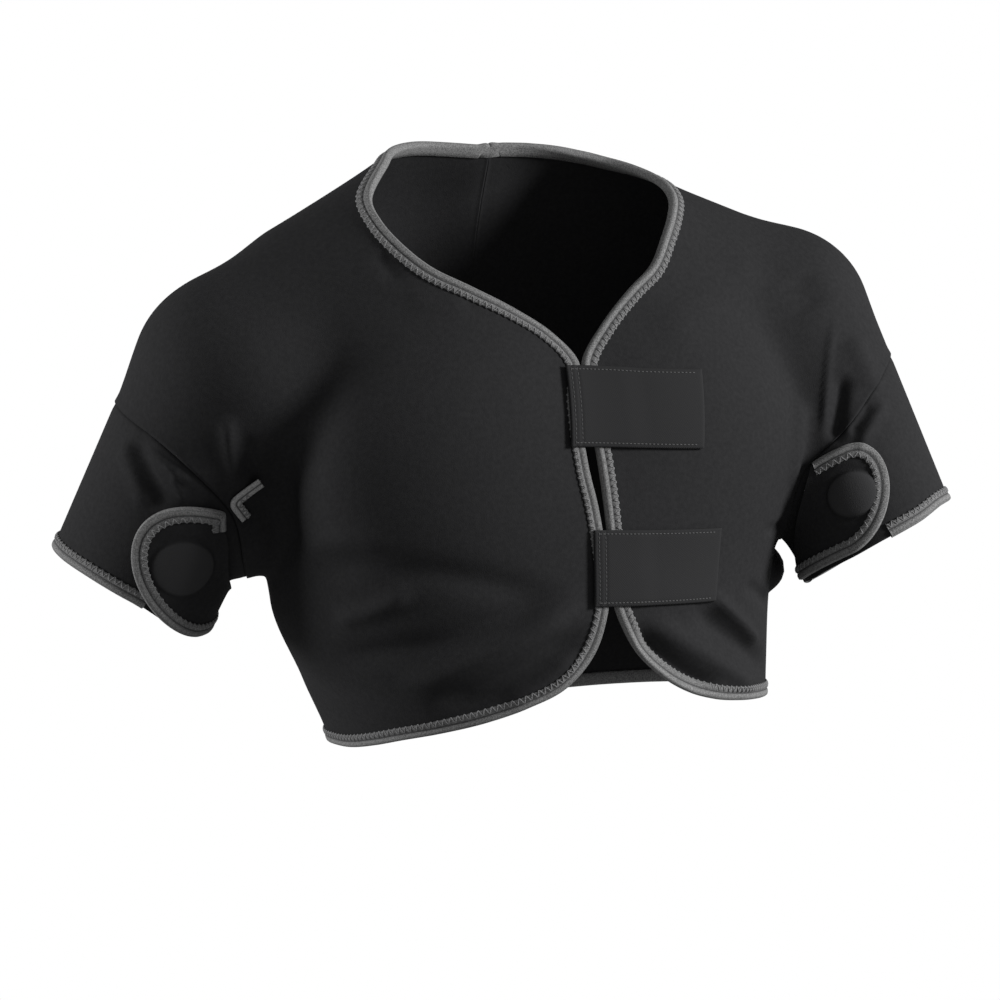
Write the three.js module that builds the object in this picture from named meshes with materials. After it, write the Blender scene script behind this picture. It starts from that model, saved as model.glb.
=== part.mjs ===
// Neoprene double shoulder brace, in the form it has when worn and fastened.
// Millimetres, +Z up. The front of the chest faces -Y and the wearer's left arm is at +X.
// The origin is the middle of the neck opening at the height where it crosses the shoulder ridges.
import * as THREE from 'three';

// Sizes of the wearer's form that the brace takes
const CHEST = { halfWidth: 180, front: 132, back: 84 };
const DROP = 400;
const SHOULDER = { halfSpan: 203, rightDrop: 134, leftDrop: 117 };
const ARM = { radius: 57, wristwardRadius: 52, length: 260 };
const SLEEVE_REACH = 165;
const TORSO_POWER = 2.35;

// Cloth, binding, strap and flap sizes
const CLOTH = 3;
const TAPE = 1;
const TAPE_REACH = 8;
const GAP = 0.4;
const SEAM_GAP = { right: 0.7, left: 1.6 };
const STRAP = { length: 98, height: 50, cloth: 1.8, lift: 0.6 };
const FLAP = { cloth: 2.5, tapeGap: 0.9, halfWidth: { right: 45, left: 34 } };

// Mesh density
const RING_STEPS = 48;
const BODY_ROWS = 11;
const SLEEVE_ROWS = 5;
const FLAP_STEPS = 10;
const RELAX_ROUNDS = { body: 24, sleeve: 4 };
const RING_ROUNDS = 3;

// How the worn form is searched for its surface, in millimetres
const SETTLE = { rounds: 14, near: 0.004, stride: 14 };
const SLOPE_STEP = 0.4;
const SEARCH_STEP = 4;
const HALVINGS = 24;
// Cosine of half the sharpest turn that a border follows
const SHARPEST_BEND = 0.6;

const COLOURS = {
  body: { color: 0x1f1f21, roughness: 0.85 },
  sleeve: { color: 0x1b1b1d, roughness: 0.85 },
  strap: { color: 0x28282a, roughness: 0.8 },
  binding: { color: 0x6d6d70, roughness: 0.75 },
};

function table(columns, rows) {
  return rows.map((row) => Object.fromEntries(columns.map((name, i) => [name, row[i]])));
}

// Torso: one row per level, an oval with its own depth in front and behind.
// Heights are shares of the drop, widths and depths shares of the chest sizes.
const TORSO = table(['height', 'halfWidth', 'front', 'back', 'shift'], [
  [-1.4, 0.822, 0.894, 0.952, 0.1],
  [-1.15, 0.822, 0.894, 0.929, 0.12],
  [-1, 0.84, 0.939, 0.905, 0.106],
  [-0.8625, 0.902, 0.985, 0.905, 0.046],
  [-0.725, 0.973, 1, 0.94, -0.01],
  [-0.5875, 1, 0.955, 0.976, -0.011],
  [-0.45, 0.978, 0.848, 1, 0],
  [-0.3125, 0.911, 0.697, 0.976, 0],
  [-0.1875, 0.761, 0.515, 0.881, -0.022],
  [-0.075, 0.511, 0.356, 0.714, -0.056],
  [0.025, 0.322, 0.258, 0.571, -0.039],
  [0.1, 0.3, 0.258, 0.548, -0.022],
]);

// Muscles of each side: places as shares of half span, chest depth and drop,
// thicknesses as shares of the arm's radius
const CHEST_MUSCLE = { at: [0.414, -0.5, -0.4625], size: [0.414, 0.333, 0.185], blend: 0.79 };
const YOKE = { inner: [0.296, 0.03, -0.155], outer: [0.921, 0, 0.02], radii: [0.98, 0.88], blend: 0.79 };
const SIDES = {
  right: {
    sign: -1,
    shoulder: [1.035, 0.121, -SHOULDER.rightDrop],
    arm: [0.354, 0.232, -0.903],
    slope: { inner: [0.286, 0.036, -0.075], outer: [0.754, 0.136, -0.19], radii: [0.67, 0.6], blend: 0.7 },
    armBlend: 0.7,
  },
  left: {
    sign: 1,
    shoulder: [1, -0.045, -SHOULDER.leftDrop],
    arm: [0.211, -0.437, -0.875],
    slope: { inner: [0.286, 0.136, -0.105], outer: [0.754, -0.03, -0.2], radii: [0.34, 0.35], blend: 0.7 },
    armBlend: 0.49,
  },
};

// Round folds of cloth: one bulges at the left flank below the armpit, one fills the top of the
// right armpit
const FOLDS = {
  leftFlank: { at: [0.823, -0.06, -0.7225], size: [0.128, 0.303, 0.045], blend: 0.21 },
  rightArmpit: { at: [-0.98, 0.12, -0.615], size: [0.1, 0.2, 0.045], blend: 0.35 },
};

// Armhole seam, per angle round the arm, from its outside over its front to the armpit:
// distance down the arm as a share of the sleeve's reach, and from its axis as a share of its radius
const ARMHOLE = {
  right: table(['angle', 'along', 'reach'], [
    [0, 0.27, 1], [30, 0.27, 1], [52, 0.295, 1], [82, 0.365, 0.98], [105, 0.435, 1],
    [120, 0.505, 1.02], [135, 0.59, 1.09], [150, 0.68, 1.16], [160, 0.71, 1.19],
    [170, 0.685, 1.11], [180, 0.6, 1.09], [195, 0.49, 1.05], [210, 0.42, 1.02],
    [240, 0.355, 1], [270, 0.325, 0.98], [300, 0.3, 0.98], [330, 0.28, 1],
  ]),
  left: table(['angle', 'along', 'reach'], [
    [0, 0.279, 1], [30, 0.303, 1], [50, 0.352, 1], [83, 0.467, 0.98], [107, 0.57, 0.98],
    [131, 0.63, 1.02], [145, 0.661, 1.12], [155, 0.703, 1.16], [165, 0.776, 1.16],
    [180, 0.842, 1.12], [195, 0.861, 1.12], [210, 0.83, 1.09], [225, 0.733, 1.09],
    [240, 0.6, 1.02], [255, 0.491, 1], [285, 0.4, 0.98], [320, 0.315, 1], [345, 0.279, 1],
  ]),
};

// Sleeve hem: distance down the arm per angle, as a share of the sleeve's reach
const SLEEVE_HEM = {
  right: table(['angle', 'along'], [
    [0, 0.925], [33, 0.914], [67, 0.925], [97, 0.965], [131, 1], [180, 1.03],
    [240, 1.02], [300, 0.96],
  ]),
  left: table(['angle', 'along'], [
    [0, 0.965], [57, 1], [89, 1.047], [117, 1.07], [148, 1.085], [181, 1.085],
    [240, 1.045], [300, 0.99],
  ]),
};

// Outer edge of each body panel: steps round the armhole, turn in degrees from the front
// middle towards the panel's own side, and height as a share of the drop.
// It runs neck side, V of the neck, front edge, hem, centre back and back neck.
const EDGE = {
  right: table(['step', 'turn', 'height'], [
    [0, 92, 0.007], [1, 82, -0.04], [2, 74, -0.077], [3, 66, -0.115], [4, 57, -0.152],
    [5, 44, -0.185], [6, 29, -0.22], [7, 13, -0.26], [8, 2, -0.31], [9, 4.6, -0.37],
    [10, 4.6, -0.425], [11, 3.4, -0.48], [12, 1.2, -0.5375], [13, -0.2, -0.595],
    [14, -1, -0.6525], [15, -0.5, -0.71], [16, 3.5, -0.78], [17, 12, -0.835],
    [18, 23, -0.865], [19, 34, -0.8875], [20, 46, -0.9075], [21, 57, -0.925],
    [22, 68, -0.945], [23, 80, -0.9625], [24, 93, -0.9725], [26, 116, -0.9775],
    [28, 140, -0.975], [30, 163, -0.97], [31, 172, -0.9675], [32, 180, -0.965],
    [40, 180, 0.02], [41, 170, 0.021], [43, 148, 0.0255], [45, 126, 0.029], [47, 103, 0.022],
  ]),
  left: table(['step', 'turn', 'height'], [
    [0, 97, -0.02], [1, 86, -0.0375], [2, 75, -0.06], [3, 65, -0.0875], [4, 56, -0.12],
    [5, 46, -0.165], [6, 33, -0.2025], [7, 15, -0.255], [8, 1.2, -0.31], [9, 0.4, -0.37],
    [10, 0.6, -0.425], [11, 1.6, -0.48], [12, 2.4, -0.5375], [13, 2.9, -0.595],
    [14, 3.4, -0.6525], [15, 4.2, -0.7125], [16, 11, -0.785], [17, 20, -0.835],
    [18, 29, -0.8675], [19, 38, -0.8875], [20, 47, -0.9], [21, 58, -0.9125],
    [22, 70, -0.925], [23, 81, -0.935], [24, 93, -0.945], [26, 116, -0.955],
    [28, 140, -0.96], [30, 163, -0.964], [31, 172, -0.965], [32, 180, -0.965],
    [40, 180, 0.02], [41, 170, 0.0225], [43, 148, 0.02], [45, 126, 0.01], [47, 107, -0.01],
  ]),
};
const BACK_LOW_STEP = 32;
const BACK_TOP_STEP = 40;

// Rounded sleeve flap: angles of its root and of its round front end round the arm,
// and its middle line and root as shares of the sleeve's reach
const FLAP_SHAPE = {
  right: {
    rootAngles: [104, 182], rootAlong: [0.52, 0.97], roundAngles: [98, 124],
    bulgeAngle: 56, middle: 0.72,
  },
  left: {
    rootAngles: [145, 200], rootAlong: [0.66, 1.06], roundAngles: [118, 140],
    bulgeAngle: 27.5, middle: 0.86,
  },
};

// Part of the sleeve hem that is bound, in degrees round the arm: from the flap's root round
// the back to its front edge
const HEM_BINDING = { right: [195, 427.5], left: [210, 465] };

// Front straps: place of the sewn end's top corner and slant of the two ends, as shares of the
// strap's length and height, and the corner's height as a share of the drop
const STRAPS = {
  upper_front_strap: { start: -0.148, height: -0.315, fall: 0.14, sewnSlant: -0.052, freeSlant: -0.056 },
  lower_front_strap: { start: -0.072, height: -0.5775, fall: 0.12, sewnSlant: -0.022, freeSlant: -0.045 },
};
const STRAP_STEPS = { along: 12, across: 3 };
const STRAP_DROP = { start: 0.23, end: 0.416 };

// Loose binding end in the right armpit crease: angle, share of the sleeve's reach
const ARMPIT_TAPE = { path: [[120, 0.45], [103.5, 0.395], [114.5, 0.265]], lift: 1.2 };

const FLAP_LOW = CLOTH + FLAP.tapeGap * 2 + TAPE;
const STRAP_LEVEL = { overBinding: CLOTH + 2 * GAP + TAPE, overCloth: CLOTH + STRAP.lift };

// Smooth curve through table rows that never overshoots them
function column(rows, key, name, period = 0) {
  const xs = rows.map((row) => row[key]);
  const ys = rows.map((row) => row[name]);
  if (period) {
    xs.push(xs[0] + period);
    ys.push(ys[0]);
  }
  const last = xs.length - 1;
  const rise = xs.slice(1).map((x, i) => (ys[i + 1] - ys[i]) / (x - xs[i]));
  const slope = (i) => {
    const before = i > 0 ? i - 1 : period ? last - 1 : 0;
    const after = i < last ? i : period ? 0 : last - 1;
    const a = rise[before];
    const b = rise[after];
    return a * b <= 0 ? 0 : (2 * a * b) / (a + b);
  };
  const slopes = xs.map((x, i) => slope(i));
  return (at) => {
    let x = at;
    if (period) x = ((((at - xs[0]) % period) + period) % period) + xs[0];
    x = Math.min(Math.max(x, xs[0]), xs[last]);
    let i = 0;
    while (i < last - 1 && x > xs[i + 1]) i += 1;
    const h = xs[i + 1] - xs[i];
    const t = (x - xs[i]) / h;
    const t2 = t * t;
    const t3 = t2 * t;
    return (2 * t3 - 3 * t2 + 1) * ys[i] + (t3 - 2 * t2 + t) * h * slopes[i]
      + (3 * t2 - 2 * t3) * ys[i + 1] + (t3 - t2) * h * slopes[i + 1];
  };
}

const torsoColumns = ['halfWidth', 'front', 'back', 'shift'].map((name) => column(TORSO, 'height', name));
const torsoSizes = [CHEST.halfWidth, CHEST.front, CHEST.back, CHEST.halfWidth];

// The worn form: signed distance-like fields, negative inside
function torsoField(x, y, z) {
  const [halfWidth, front, back, shift] = torsoColumns.map((at, i) => at(z / DROP) * torsoSizes[i]);
  const dx = Math.abs(x - shift);
  const depth = y < 0 ? front : back;
  const ratio = ((dx / halfWidth) ** TORSO_POWER + (Math.abs(y) / depth) ** TORSO_POWER) ** (1 / TORSO_POWER);
  return Math.hypot(dx, y) * (1 - 1 / Math.max(ratio, 1e-6)) * 0.9;
}

function roundCone(x, y, z, a, b, radiusA, radiusB) {
  const ab = [b[0] - a[0], b[1] - a[1], b[2] - a[2]];
  const length2 = ab[0] ** 2 + ab[1] ** 2 + ab[2] ** 2;
  const along = ((x - a[0]) * ab[0] + (y - a[1]) * ab[1] + (z - a[2]) * ab[2]) / length2;
  const t = Math.min(Math.max(along, 0), 1);
  const off = Math.hypot(x - a[0] - t * ab[0], y - a[1] - t * ab[1], z - a[2] - t * ab[2]);
  return off - radiusA - (radiusB - radiusA) * t;
}

function ellipsoid(x, y, z, at, size) {
  const q = [(x - at[0]) / size[0], (y - at[1]) / size[1], (z - at[2]) / size[2]];
  const near = Math.hypot(...q);
  const far = Math.hypot(q[0] / size[0], q[1] / size[1], q[2] / size[2]);
  return (near * (near - 1)) / Math.max(far, 1e-6);
}

function blend(a, b, width) {
  const h = Math.min(Math.max(0.5 + (0.5 * (b - a)) / width, 0), 1);
  return b * (1 - h) + a * h - width * h * (1 - h);
}

function prepareSide(side) {
  const place = ([x, y, z]) => [side.sign * x * SHOULDER.halfSpan, y * CHEST.front, z * DROP];
  const shoulder = place(side.shoulder);
  shoulder[2] = side.shoulder[2];
  const axis = new THREE.Vector3(side.sign * side.arm[0], side.arm[1], side.arm[2]).normalize();
  const outside = new THREE.Vector3(side.sign, 0, 0);
  outside.addScaledVector(axis, -outside.dot(axis)).normalize();
  const front = new THREE.Vector3().crossVectors(axis, outside);
  if (front.y > 0) front.negate();
  const armEnd = new THREE.Vector3(...shoulder).addScaledVector(axis, ARM.length);
  const [yokeX, yokeY, yokeRise] = YOKE.outer;
  const chestSize = place(CHEST_MUSCLE.size).map(Math.abs);
  const thick = (share) => share * ARM.radius;
  return {
    ...side,
    axis,
    outside,
    front,
    shoulder,
    armEnd: armEnd.toArray(),
    chest: { at: place(CHEST_MUSCLE.at), size: chestSize, blend: thick(CHEST_MUSCLE.blend) },
    yoke: {
      inner: place(YOKE.inner),
      outer: [shoulder[0] * yokeX, shoulder[1] + yokeY, shoulder[2] + yokeRise * DROP],
      radii: YOKE.radii.map(thick),
      blend: thick(YOKE.blend),
    },
    slope: {
      inner: place(side.slope.inner),
      outer: place(side.slope.outer),
      radii: side.slope.radii.map(thick),
      blend: thick(side.slope.blend),
    },
    armBlend: thick(side.armBlend),
  };
}

const sides = { right: prepareSide(SIDES.right), left: prepareSide(SIDES.left) };

const foldScale = [SHOULDER.halfSpan, CHEST.front, DROP];
const folds = Object.values(FOLDS).map((fold) => ({
  at: fold.at.map((share, i) => share * foldScale[i]),
  size: fold.size.map((share, i) => share * foldScale[i]),
  blend: fold.blend * ARM.radius,
}));

function wornField(x, y, z) {
  let d = torsoField(x, y, z);
  for (const { chest, yoke, slope, shoulder, armEnd, armBlend } of Object.values(sides)) {
    d = blend(d, ellipsoid(x, y, z, chest.at, chest.size), chest.blend);
    d = blend(d, roundCone(x, y, z, yoke.inner, yoke.outer, ...yoke.radii), yoke.blend);
    d = blend(d, roundCone(x, y, z, slope.inner, slope.outer, ...slope.radii), slope.blend);
    d = blend(d, roundCone(x, y, z, shoulder, armEnd, ARM.radius, ARM.wristwardRadius), armBlend);
  }
  for (const fold of folds) d = blend(d, ellipsoid(x, y, z, fold.at, fold.size), fold.blend);
  return d;
}

function gradient(p) {
  const e = SLOPE_STEP;
  return new THREE.Vector3(
    wornField(p.x + e, p.y, p.z) - wornField(p.x - e, p.y, p.z),
    wornField(p.x, p.y + e, p.z) - wornField(p.x, p.y - e, p.z),
    wornField(p.x, p.y, p.z + e) - wornField(p.x, p.y, p.z - e),
  ).divideScalar(2 * e);
}

// Moves a point onto the worn form and gives its place and outward direction
function settle(start) {
  const point = start.clone();
  for (let i = 0; i < SETTLE.rounds; i += 1) {
    const value = wornField(point.x, point.y, point.z);
    if (Math.abs(value) < SETTLE.near) break;
    const slope = gradient(point);
    const step = THREE.MathUtils.clamp(value / slope.lengthSq(), -SETTLE.stride, SETTLE.stride);
    point.addScaledVector(slope, -step);
  }
  return { point, normal: gradient(point).normalize() };
}

function armPoint(side, angle, along, reach) {
  const turn = THREE.MathUtils.degToRad(angle);
  const s = sides[side];
  const p = new THREE.Vector3(...s.shoulder).addScaledVector(s.axis, along);
  p.addScaledVector(s.outside, reach * Math.cos(turn));
  return p.addScaledVector(s.front, reach * Math.sin(turn));
}

function armSurface(side, angle, along) {
  return settle(armPoint(side, angle, along, ARM.radius));
}

// Point of the torso's outside seen from its middle line at one height
function torsoPoint(side, turn, height) {
  const angle = THREE.MathUtils.degToRad(turn);
  const out = [sides[side].sign * Math.sin(angle), -Math.cos(angle)];
  let inside = 0.1 * CHEST.halfWidth;
  let beyond = 1.5 * CHEST.halfWidth;
  for (let r = inside; r < beyond; r += SEARCH_STEP) {
    if (wornField(r * out[0], r * out[1], height) > 0) {
      beyond = r;
      break;
    }
    inside = r;
  }
  for (let i = 0; i < HALVINGS; i += 1) {
    const middle = (inside + beyond) / 2;
    if (wornField(middle * out[0], middle * out[1], height) > 0) beyond = middle;
    else inside = middle;
  }
  return new THREE.Vector3(inside * out[0], inside * out[1], height);
}

const armholeColumns = (side) => ['along', 'reach'].map((name) => column(ARMHOLE[side], 'angle', name, 360));

function smoothRing(ring, rounds) {
  let spots = ring;
  const n = ring.length;
  for (let round = 0; round < rounds; round += 1) {
    spots = spots.map((spot, k) => {
      const mean = spots[(k + 1) % n].point.clone().add(spots[(k + n - 1) % n].point).multiplyScalar(0.25);
      return settle(mean.addScaledVector(spot.point, 0.5));
    });
  }
  return spots;
}

function armholeRing(side) {
  const [along, reach] = armholeColumns(side);
  const ring = Array.from({ length: RING_STEPS }, (unused, k) => {
    const angle = (360 * k) / RING_STEPS;
    return settle(armPoint(side, angle, along(angle) * SLEEVE_REACH, reach(angle) * ARM.radius));
  });
  return smoothRing(ring, RING_ROUNDS);
}

// Rows of spots along an edge, moved inwards by the reach of the binding tape
function borderRow(edge, centre) {
  const n = edge.length;
  return edge.map((spot, k) => {
    const before = spot.point.clone().sub(edge[(k + n - 1) % n].point).normalize();
    const after = edge[(k + 1) % n].point.clone().sub(spot.point).normalize();
    const bend = Math.sqrt((1 + before.dot(after)) / 2);
    const inward = new THREE.Vector3().crossVectors(before.add(after), spot.normal).normalize();
    if (inward.dot(centre(k).point.clone().sub(spot.point)) < 0) inward.negate();
    return settle(spot.point.clone().addScaledVector(inward, TAPE_REACH / Math.max(bend, SHARPEST_BEND)));
  });
}

function panelEdge(side) {
  const turn = column(EDGE[side], 'step', 'turn', RING_STEPS);
  const height = column(EDGE[side], 'step', 'height', RING_STEPS);
  return Array.from({ length: RING_STEPS }, (unused, k) => {
    const onBack = k >= BACK_LOW_STEP && k <= BACK_TOP_STEP;
    const p = torsoPoint(side, turn(k), height(k) * DROP);
    if (onBack) p.x = sides[side].sign * (GAP / 2);
    return { point: p, normal: gradient(p).normalize() };
  });
}

// Evens out the inside of a grid that is closed round its first index.
// The edge row and the border row beside it stay as they are.
function relax(grid, rounds) {
  const n = grid.length;
  for (let round = 0; round < rounds; round += 1) {
    for (let k = 0; k < n; k += 1) {
      for (let j = 1; j < grid[k].length - 2; j += 1) {
        const mean = new THREE.Vector3();
        mean.add(grid[(k + 1) % n][j].point).add(grid[(k + n - 1) % n][j].point);
        mean.add(grid[k][j - 1].point).add(grid[k][j + 1].point);
        grid[k][j] = settle(mean.divideScalar(4));
      }
    }
  }
  return grid;
}

function bodyGrid(side) {
  const ring = armholeRing(side);
  const edge = panelEdge(side);
  const border = borderRow(edge, (k) => ring[k]);
  const grid = ring.map((start, k) => Array.from({ length: BODY_ROWS + 1 }, (unused, j) => {
    if (j === 0) return start;
    if (j === BODY_ROWS) return edge[k];
    if (j === BODY_ROWS - 1) return border[k];
    return settle(start.point.clone().lerp(border[k].point, j / (BODY_ROWS - 1)));
  }));
  return relax(grid, RELAX_ROUNDS.body);
}

function sleeveGrid(side, ring) {
  const [alongTop] = armholeColumns(side);
  const hem = column(SLEEVE_HEM[side], 'angle', 'along', 360);
  const angles = ring.map((unused, k) => (360 * k) / RING_STEPS);
  const foot = angles.map((angle) => armSurface(side, angle, hem(angle) * SLEEVE_REACH));
  const border = borderRow(foot, (k) => ring[k]);
  const grid = ring.map((start, k) => {
    const angle = angles[k];
    const row = Array.from({ length: SLEEVE_ROWS + 1 }, (unused, j) => {
      if (j === 0) return start;
      if (j === SLEEVE_ROWS) return foot[k];
      if (j === SLEEVE_ROWS - 1) return border[k];
      const low = hem(angle) * SLEEVE_REACH - TAPE_REACH;
      const along = THREE.MathUtils.lerp(alongTop(angle) * SLEEVE_REACH, low, j / (SLEEVE_ROWS - 1));
      return settle(armPoint(side, angle, along, ARM.wristwardRadius));
    });
    const down = row[1].point.clone().sub(start.point).normalize();
    row[0] = { point: start.point.clone().addScaledVector(down, SEAM_GAP[side]), normal: start.normal };
    return row;
  });
  return relax(grid, RELAX_ROUNDS.sleeve);
}

// Grid of the flap, from its root to its rounded end
function flapGrid(side) {
  const { rootAngles, rootAlong, roundAngles, bulgeAngle, middle } = FLAP_SHAPE[side];
  const mix = THREE.MathUtils.lerp;
  return Array.from({ length: FLAP_STEPS + 1 }, (unused, i) => Array.from(
    { length: FLAP_STEPS + 1 },
    (unusedToo, j) => {
      const across = Math.sin((Math.PI / 2) * ((2 * j) / FLAP_STEPS - 1));
      const share = (across + 1) / 2;
      const endAngle = mix(...roundAngles, share) - bulgeAngle * Math.sqrt(Math.max(0, 1 - across * across));
      const endAlong = middle * SLEEVE_REACH + FLAP.halfWidth[side] * across;
      const u = i / FLAP_STEPS;
      const angle = mix(mix(...rootAngles, share), endAngle, u);
      return armSurface(side, angle, mix(mix(...rootAlong, share) * SLEEVE_REACH, endAlong, u));
    },
  ));
}

const lifted = (spot, level) => spot.point.clone().addScaledVector(spot.normal, level);

// One closed mesh from vertices and triangles, turned so that its faces point out
function makeMesh(name, look, vertices, triangles) {
  let volume = 0;
  for (const [a, b, c] of triangles) {
    volume += vertices[a].dot(new THREE.Vector3().crossVectors(vertices[b], vertices[c]));
  }
  const order = volume > 0 ? triangles : triangles.map(([a, b, c]) => [a, c, b]);
  const geometry = new THREE.BufferGeometry();
  geometry.setAttribute('position', new THREE.Float32BufferAttribute(vertices.flatMap((v) => v.toArray()), 3));
  geometry.setIndex(order.flat());
  geometry.computeVertexNormals();
  const mesh = new THREE.Mesh(geometry, new THREE.MeshStandardMaterial({ metalness: 0, ...look }));
  mesh.name = name;
  return mesh;
}

// Sheet of cloth between two levels above the worn form
function clothMesh(name, look, grid, ringed, levels) {
  const rows = grid.length;
  const columns = grid[0].length;
  const vertices = [];
  for (const level of ['high', 'low']) {
    grid.forEach((row, k) => row.forEach((spot, j) => vertices.push(lifted(spot, levels(spot, k, j)[level]))));
  }
  const at = (k, j, low) => (low ? rows * columns : 0) + (k % rows) * columns + j;
  const triangles = [];
  const quad = (a, b, c, d) => triangles.push([a, b, c], [a, c, d]);
  const spans = ringed ? rows : rows - 1;
  for (let k = 0; k < spans; k += 1) {
    for (let j = 0; j < columns - 1; j += 1) {
      const [a, b, c, d] = [at(k, j), at(k + 1, j), at(k + 1, j + 1), at(k, j + 1)];
      const low = rows * columns;
      const short = vertices[a].distanceTo(vertices[c]) < vertices[b].distanceTo(vertices[d]);
      if (short) {
        quad(a, b, c, d);
        quad(a + low, d + low, c + low, b + low);
      } else {
        quad(b, c, d, a);
        quad(b + low, a + low, d + low, c + low);
      }
    }
    const end = columns - 1;
    quad(at(k + 1, 0), at(k, 0), at(k, 0, true), at(k + 1, 0, true));
    quad(at(k, end), at(k + 1, end), at(k + 1, end, true), at(k, end, true));
  }
  if (!ringed) {
    for (let j = 0; j < columns - 1; j += 1) {
      const end = rows - 1;
      quad(at(0, j), at(0, j + 1), at(0, j + 1, true), at(0, j, true));
      quad(at(end, j + 1), at(end, j), at(end, j, true), at(end, j + 1, true));
    }
  }
  return makeMesh(name, look, vertices, triangles);
}

const between = (low, high) => () => ({ low, high });

// Binding folded over an edge: a U section carried along it, one section per edge spot
function bindingMesh(name, edge, closed, low, high, gap) {
  const count = edge.length;
  const spotAt = (i) => edge[closed ? (i + count) % count : Math.min(Math.max(i, 0), count - 1)].spot;
  const vertices = [];
  edge.forEach(({ spot, lip }, i) => {
    const before = spot.point.clone().sub(spotAt(i - 1).point).normalize();
    const after = spotAt(i + 1).point.clone().sub(spot.point).normalize();
    const bend = before.lengthSq() && after.lengthSq() ? Math.sqrt((1 + before.dot(after)) / 2) : 1;
    const out = new THREE.Vector3().crossVectors(before.add(after), spot.normal).normalize();
    if (out.dot(spot.point.clone().sub(lip.point)) < 0) out.negate();
    out.divideScalar(Math.max(bend, SHARPEST_BEND));
    const corner = (reach, level) => lifted(spot, level).addScaledVector(out, reach);
    vertices.push(
      lifted(lip, high + gap),
      corner(gap, high + gap),
      corner(gap, low - gap),
      lifted(lip, low - gap),
      lifted(lip, low - gap - TAPE),
      corner(gap + TAPE, low - gap - TAPE),
      corner(gap + TAPE, high + gap + TAPE),
      lifted(lip, high + gap + TAPE),
    );
  });
  const sides8 = 8;
  const triangles = [];
  const spans = closed ? count : count - 1;
  for (let i = 0; i < spans; i += 1) {
    for (let m = 0; m < sides8; m += 1) {
      const next = (m + 1) % sides8;
      const [a, b] = [i * sides8 + m, i * sides8 + next];
      const [c, d] = [((i + 1) % count) * sides8 + next, ((i + 1) % count) * sides8 + m];
      const short = vertices[a].distanceTo(vertices[c]) < vertices[b].distanceTo(vertices[d]);
      if (short) triangles.push([a, b, c], [a, c, d]);
      else triangles.push([b, c, d], [b, d, a]);
    }
  }
  if (!closed) {
    const cap = [[0, 1, 6], [0, 6, 7], [1, 2, 5], [1, 5, 6], [2, 3, 4], [2, 4, 5]];
    const far = (count - 1) * sides8;
    for (const [a, b, c] of cap) triangles.push([a, c, b], [a + far, b + far, c + far]);
  }
  return makeMesh(name, COLOURS.binding, vertices, triangles);
}

// Neck, front edges and hem are bound in one loop that crosses the centre back twice
function perimeterEdge(rightGrid, leftGrid) {
  const edge = [];
  const add = (grid, k) => {
    const row = grid[k];
    const spot = { point: row[BODY_ROWS].point.clone(), normal: row[BODY_ROWS].normal };
    let lip = row[BODY_ROWS - 1];
    if (k === BACK_LOW_STEP || k === BACK_TOP_STEP) {
      const { point, normal } = grid[k === BACK_LOW_STEP ? k + 1 : k - 1][BODY_ROWS];
      const share = TAPE_REACH / point.distanceTo(spot.point);
      lip = { point: spot.point.clone().lerp(point, share), normal: spot.normal.clone().lerp(normal, share) };
      spot.point.setX(0);
      lip.point.setX(0);
    }
    edge.push({ spot, lip });
  };
  for (let k = BACK_TOP_STEP; k <= BACK_LOW_STEP + RING_STEPS; k += 1) add(rightGrid, k % RING_STEPS);
  for (let k = BACK_LOW_STEP + RING_STEPS - 1; k > BACK_TOP_STEP; k -= 1) add(leftGrid, k % RING_STEPS);
  return edge;
}

function hemEdge(grid, angles) {
  const [first, last] = angles.map((angle) => Math.round((angle / 360) * RING_STEPS));
  const edge = [];
  for (let k = first; k <= last; k += 1) {
    const row = grid[k % RING_STEPS];
    edge.push({ spot: row[SLEEVE_ROWS], lip: row[SLEEVE_ROWS - 1] });
  }
  return edge;
}

function flapEdge(grid) {
  const end = FLAP_STEPS;
  const spots = [];
  for (let i = 1; i < end; i += 1) spots.push(grid[i][0]);
  for (let j = 0; j <= end; j += 1) spots.push(grid[end][j]);
  for (let i = end - 1; i > 0; i -= 1) spots.push(grid[i][end]);
  const middle = grid[end / 2][end / 2].point;
  return spots.map((spot, i) => {
    const before = spots[Math.max(i - 1, 0)].point;
    const after = spots[Math.min(i + 1, spots.length - 1)].point;
    const inward = new THREE.Vector3().crossVectors(after.clone().sub(before), spot.normal).normalize();
    if (inward.dot(middle.clone().sub(spot.point)) < 0) inward.negate();
    return { spot, lip: settle(spot.point.clone().addScaledVector(inward, TAPE_REACH)) };
  });
}

// Point on the chest straight behind a place in the front view
function frontPoint(x, z) {
  let outside = -2 * CHEST.front;
  let inside = -0.15 * CHEST.front;
  for (let i = 0; i < HALVINGS; i += 1) {
    const middle = (outside + inside) / 2;
    if (wornField(x, middle, z) > 0) outside = middle;
    else inside = middle;
  }
  const point = new THREE.Vector3(x, inside, z);
  return { point, normal: gradient(point).normalize() };
}

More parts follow.
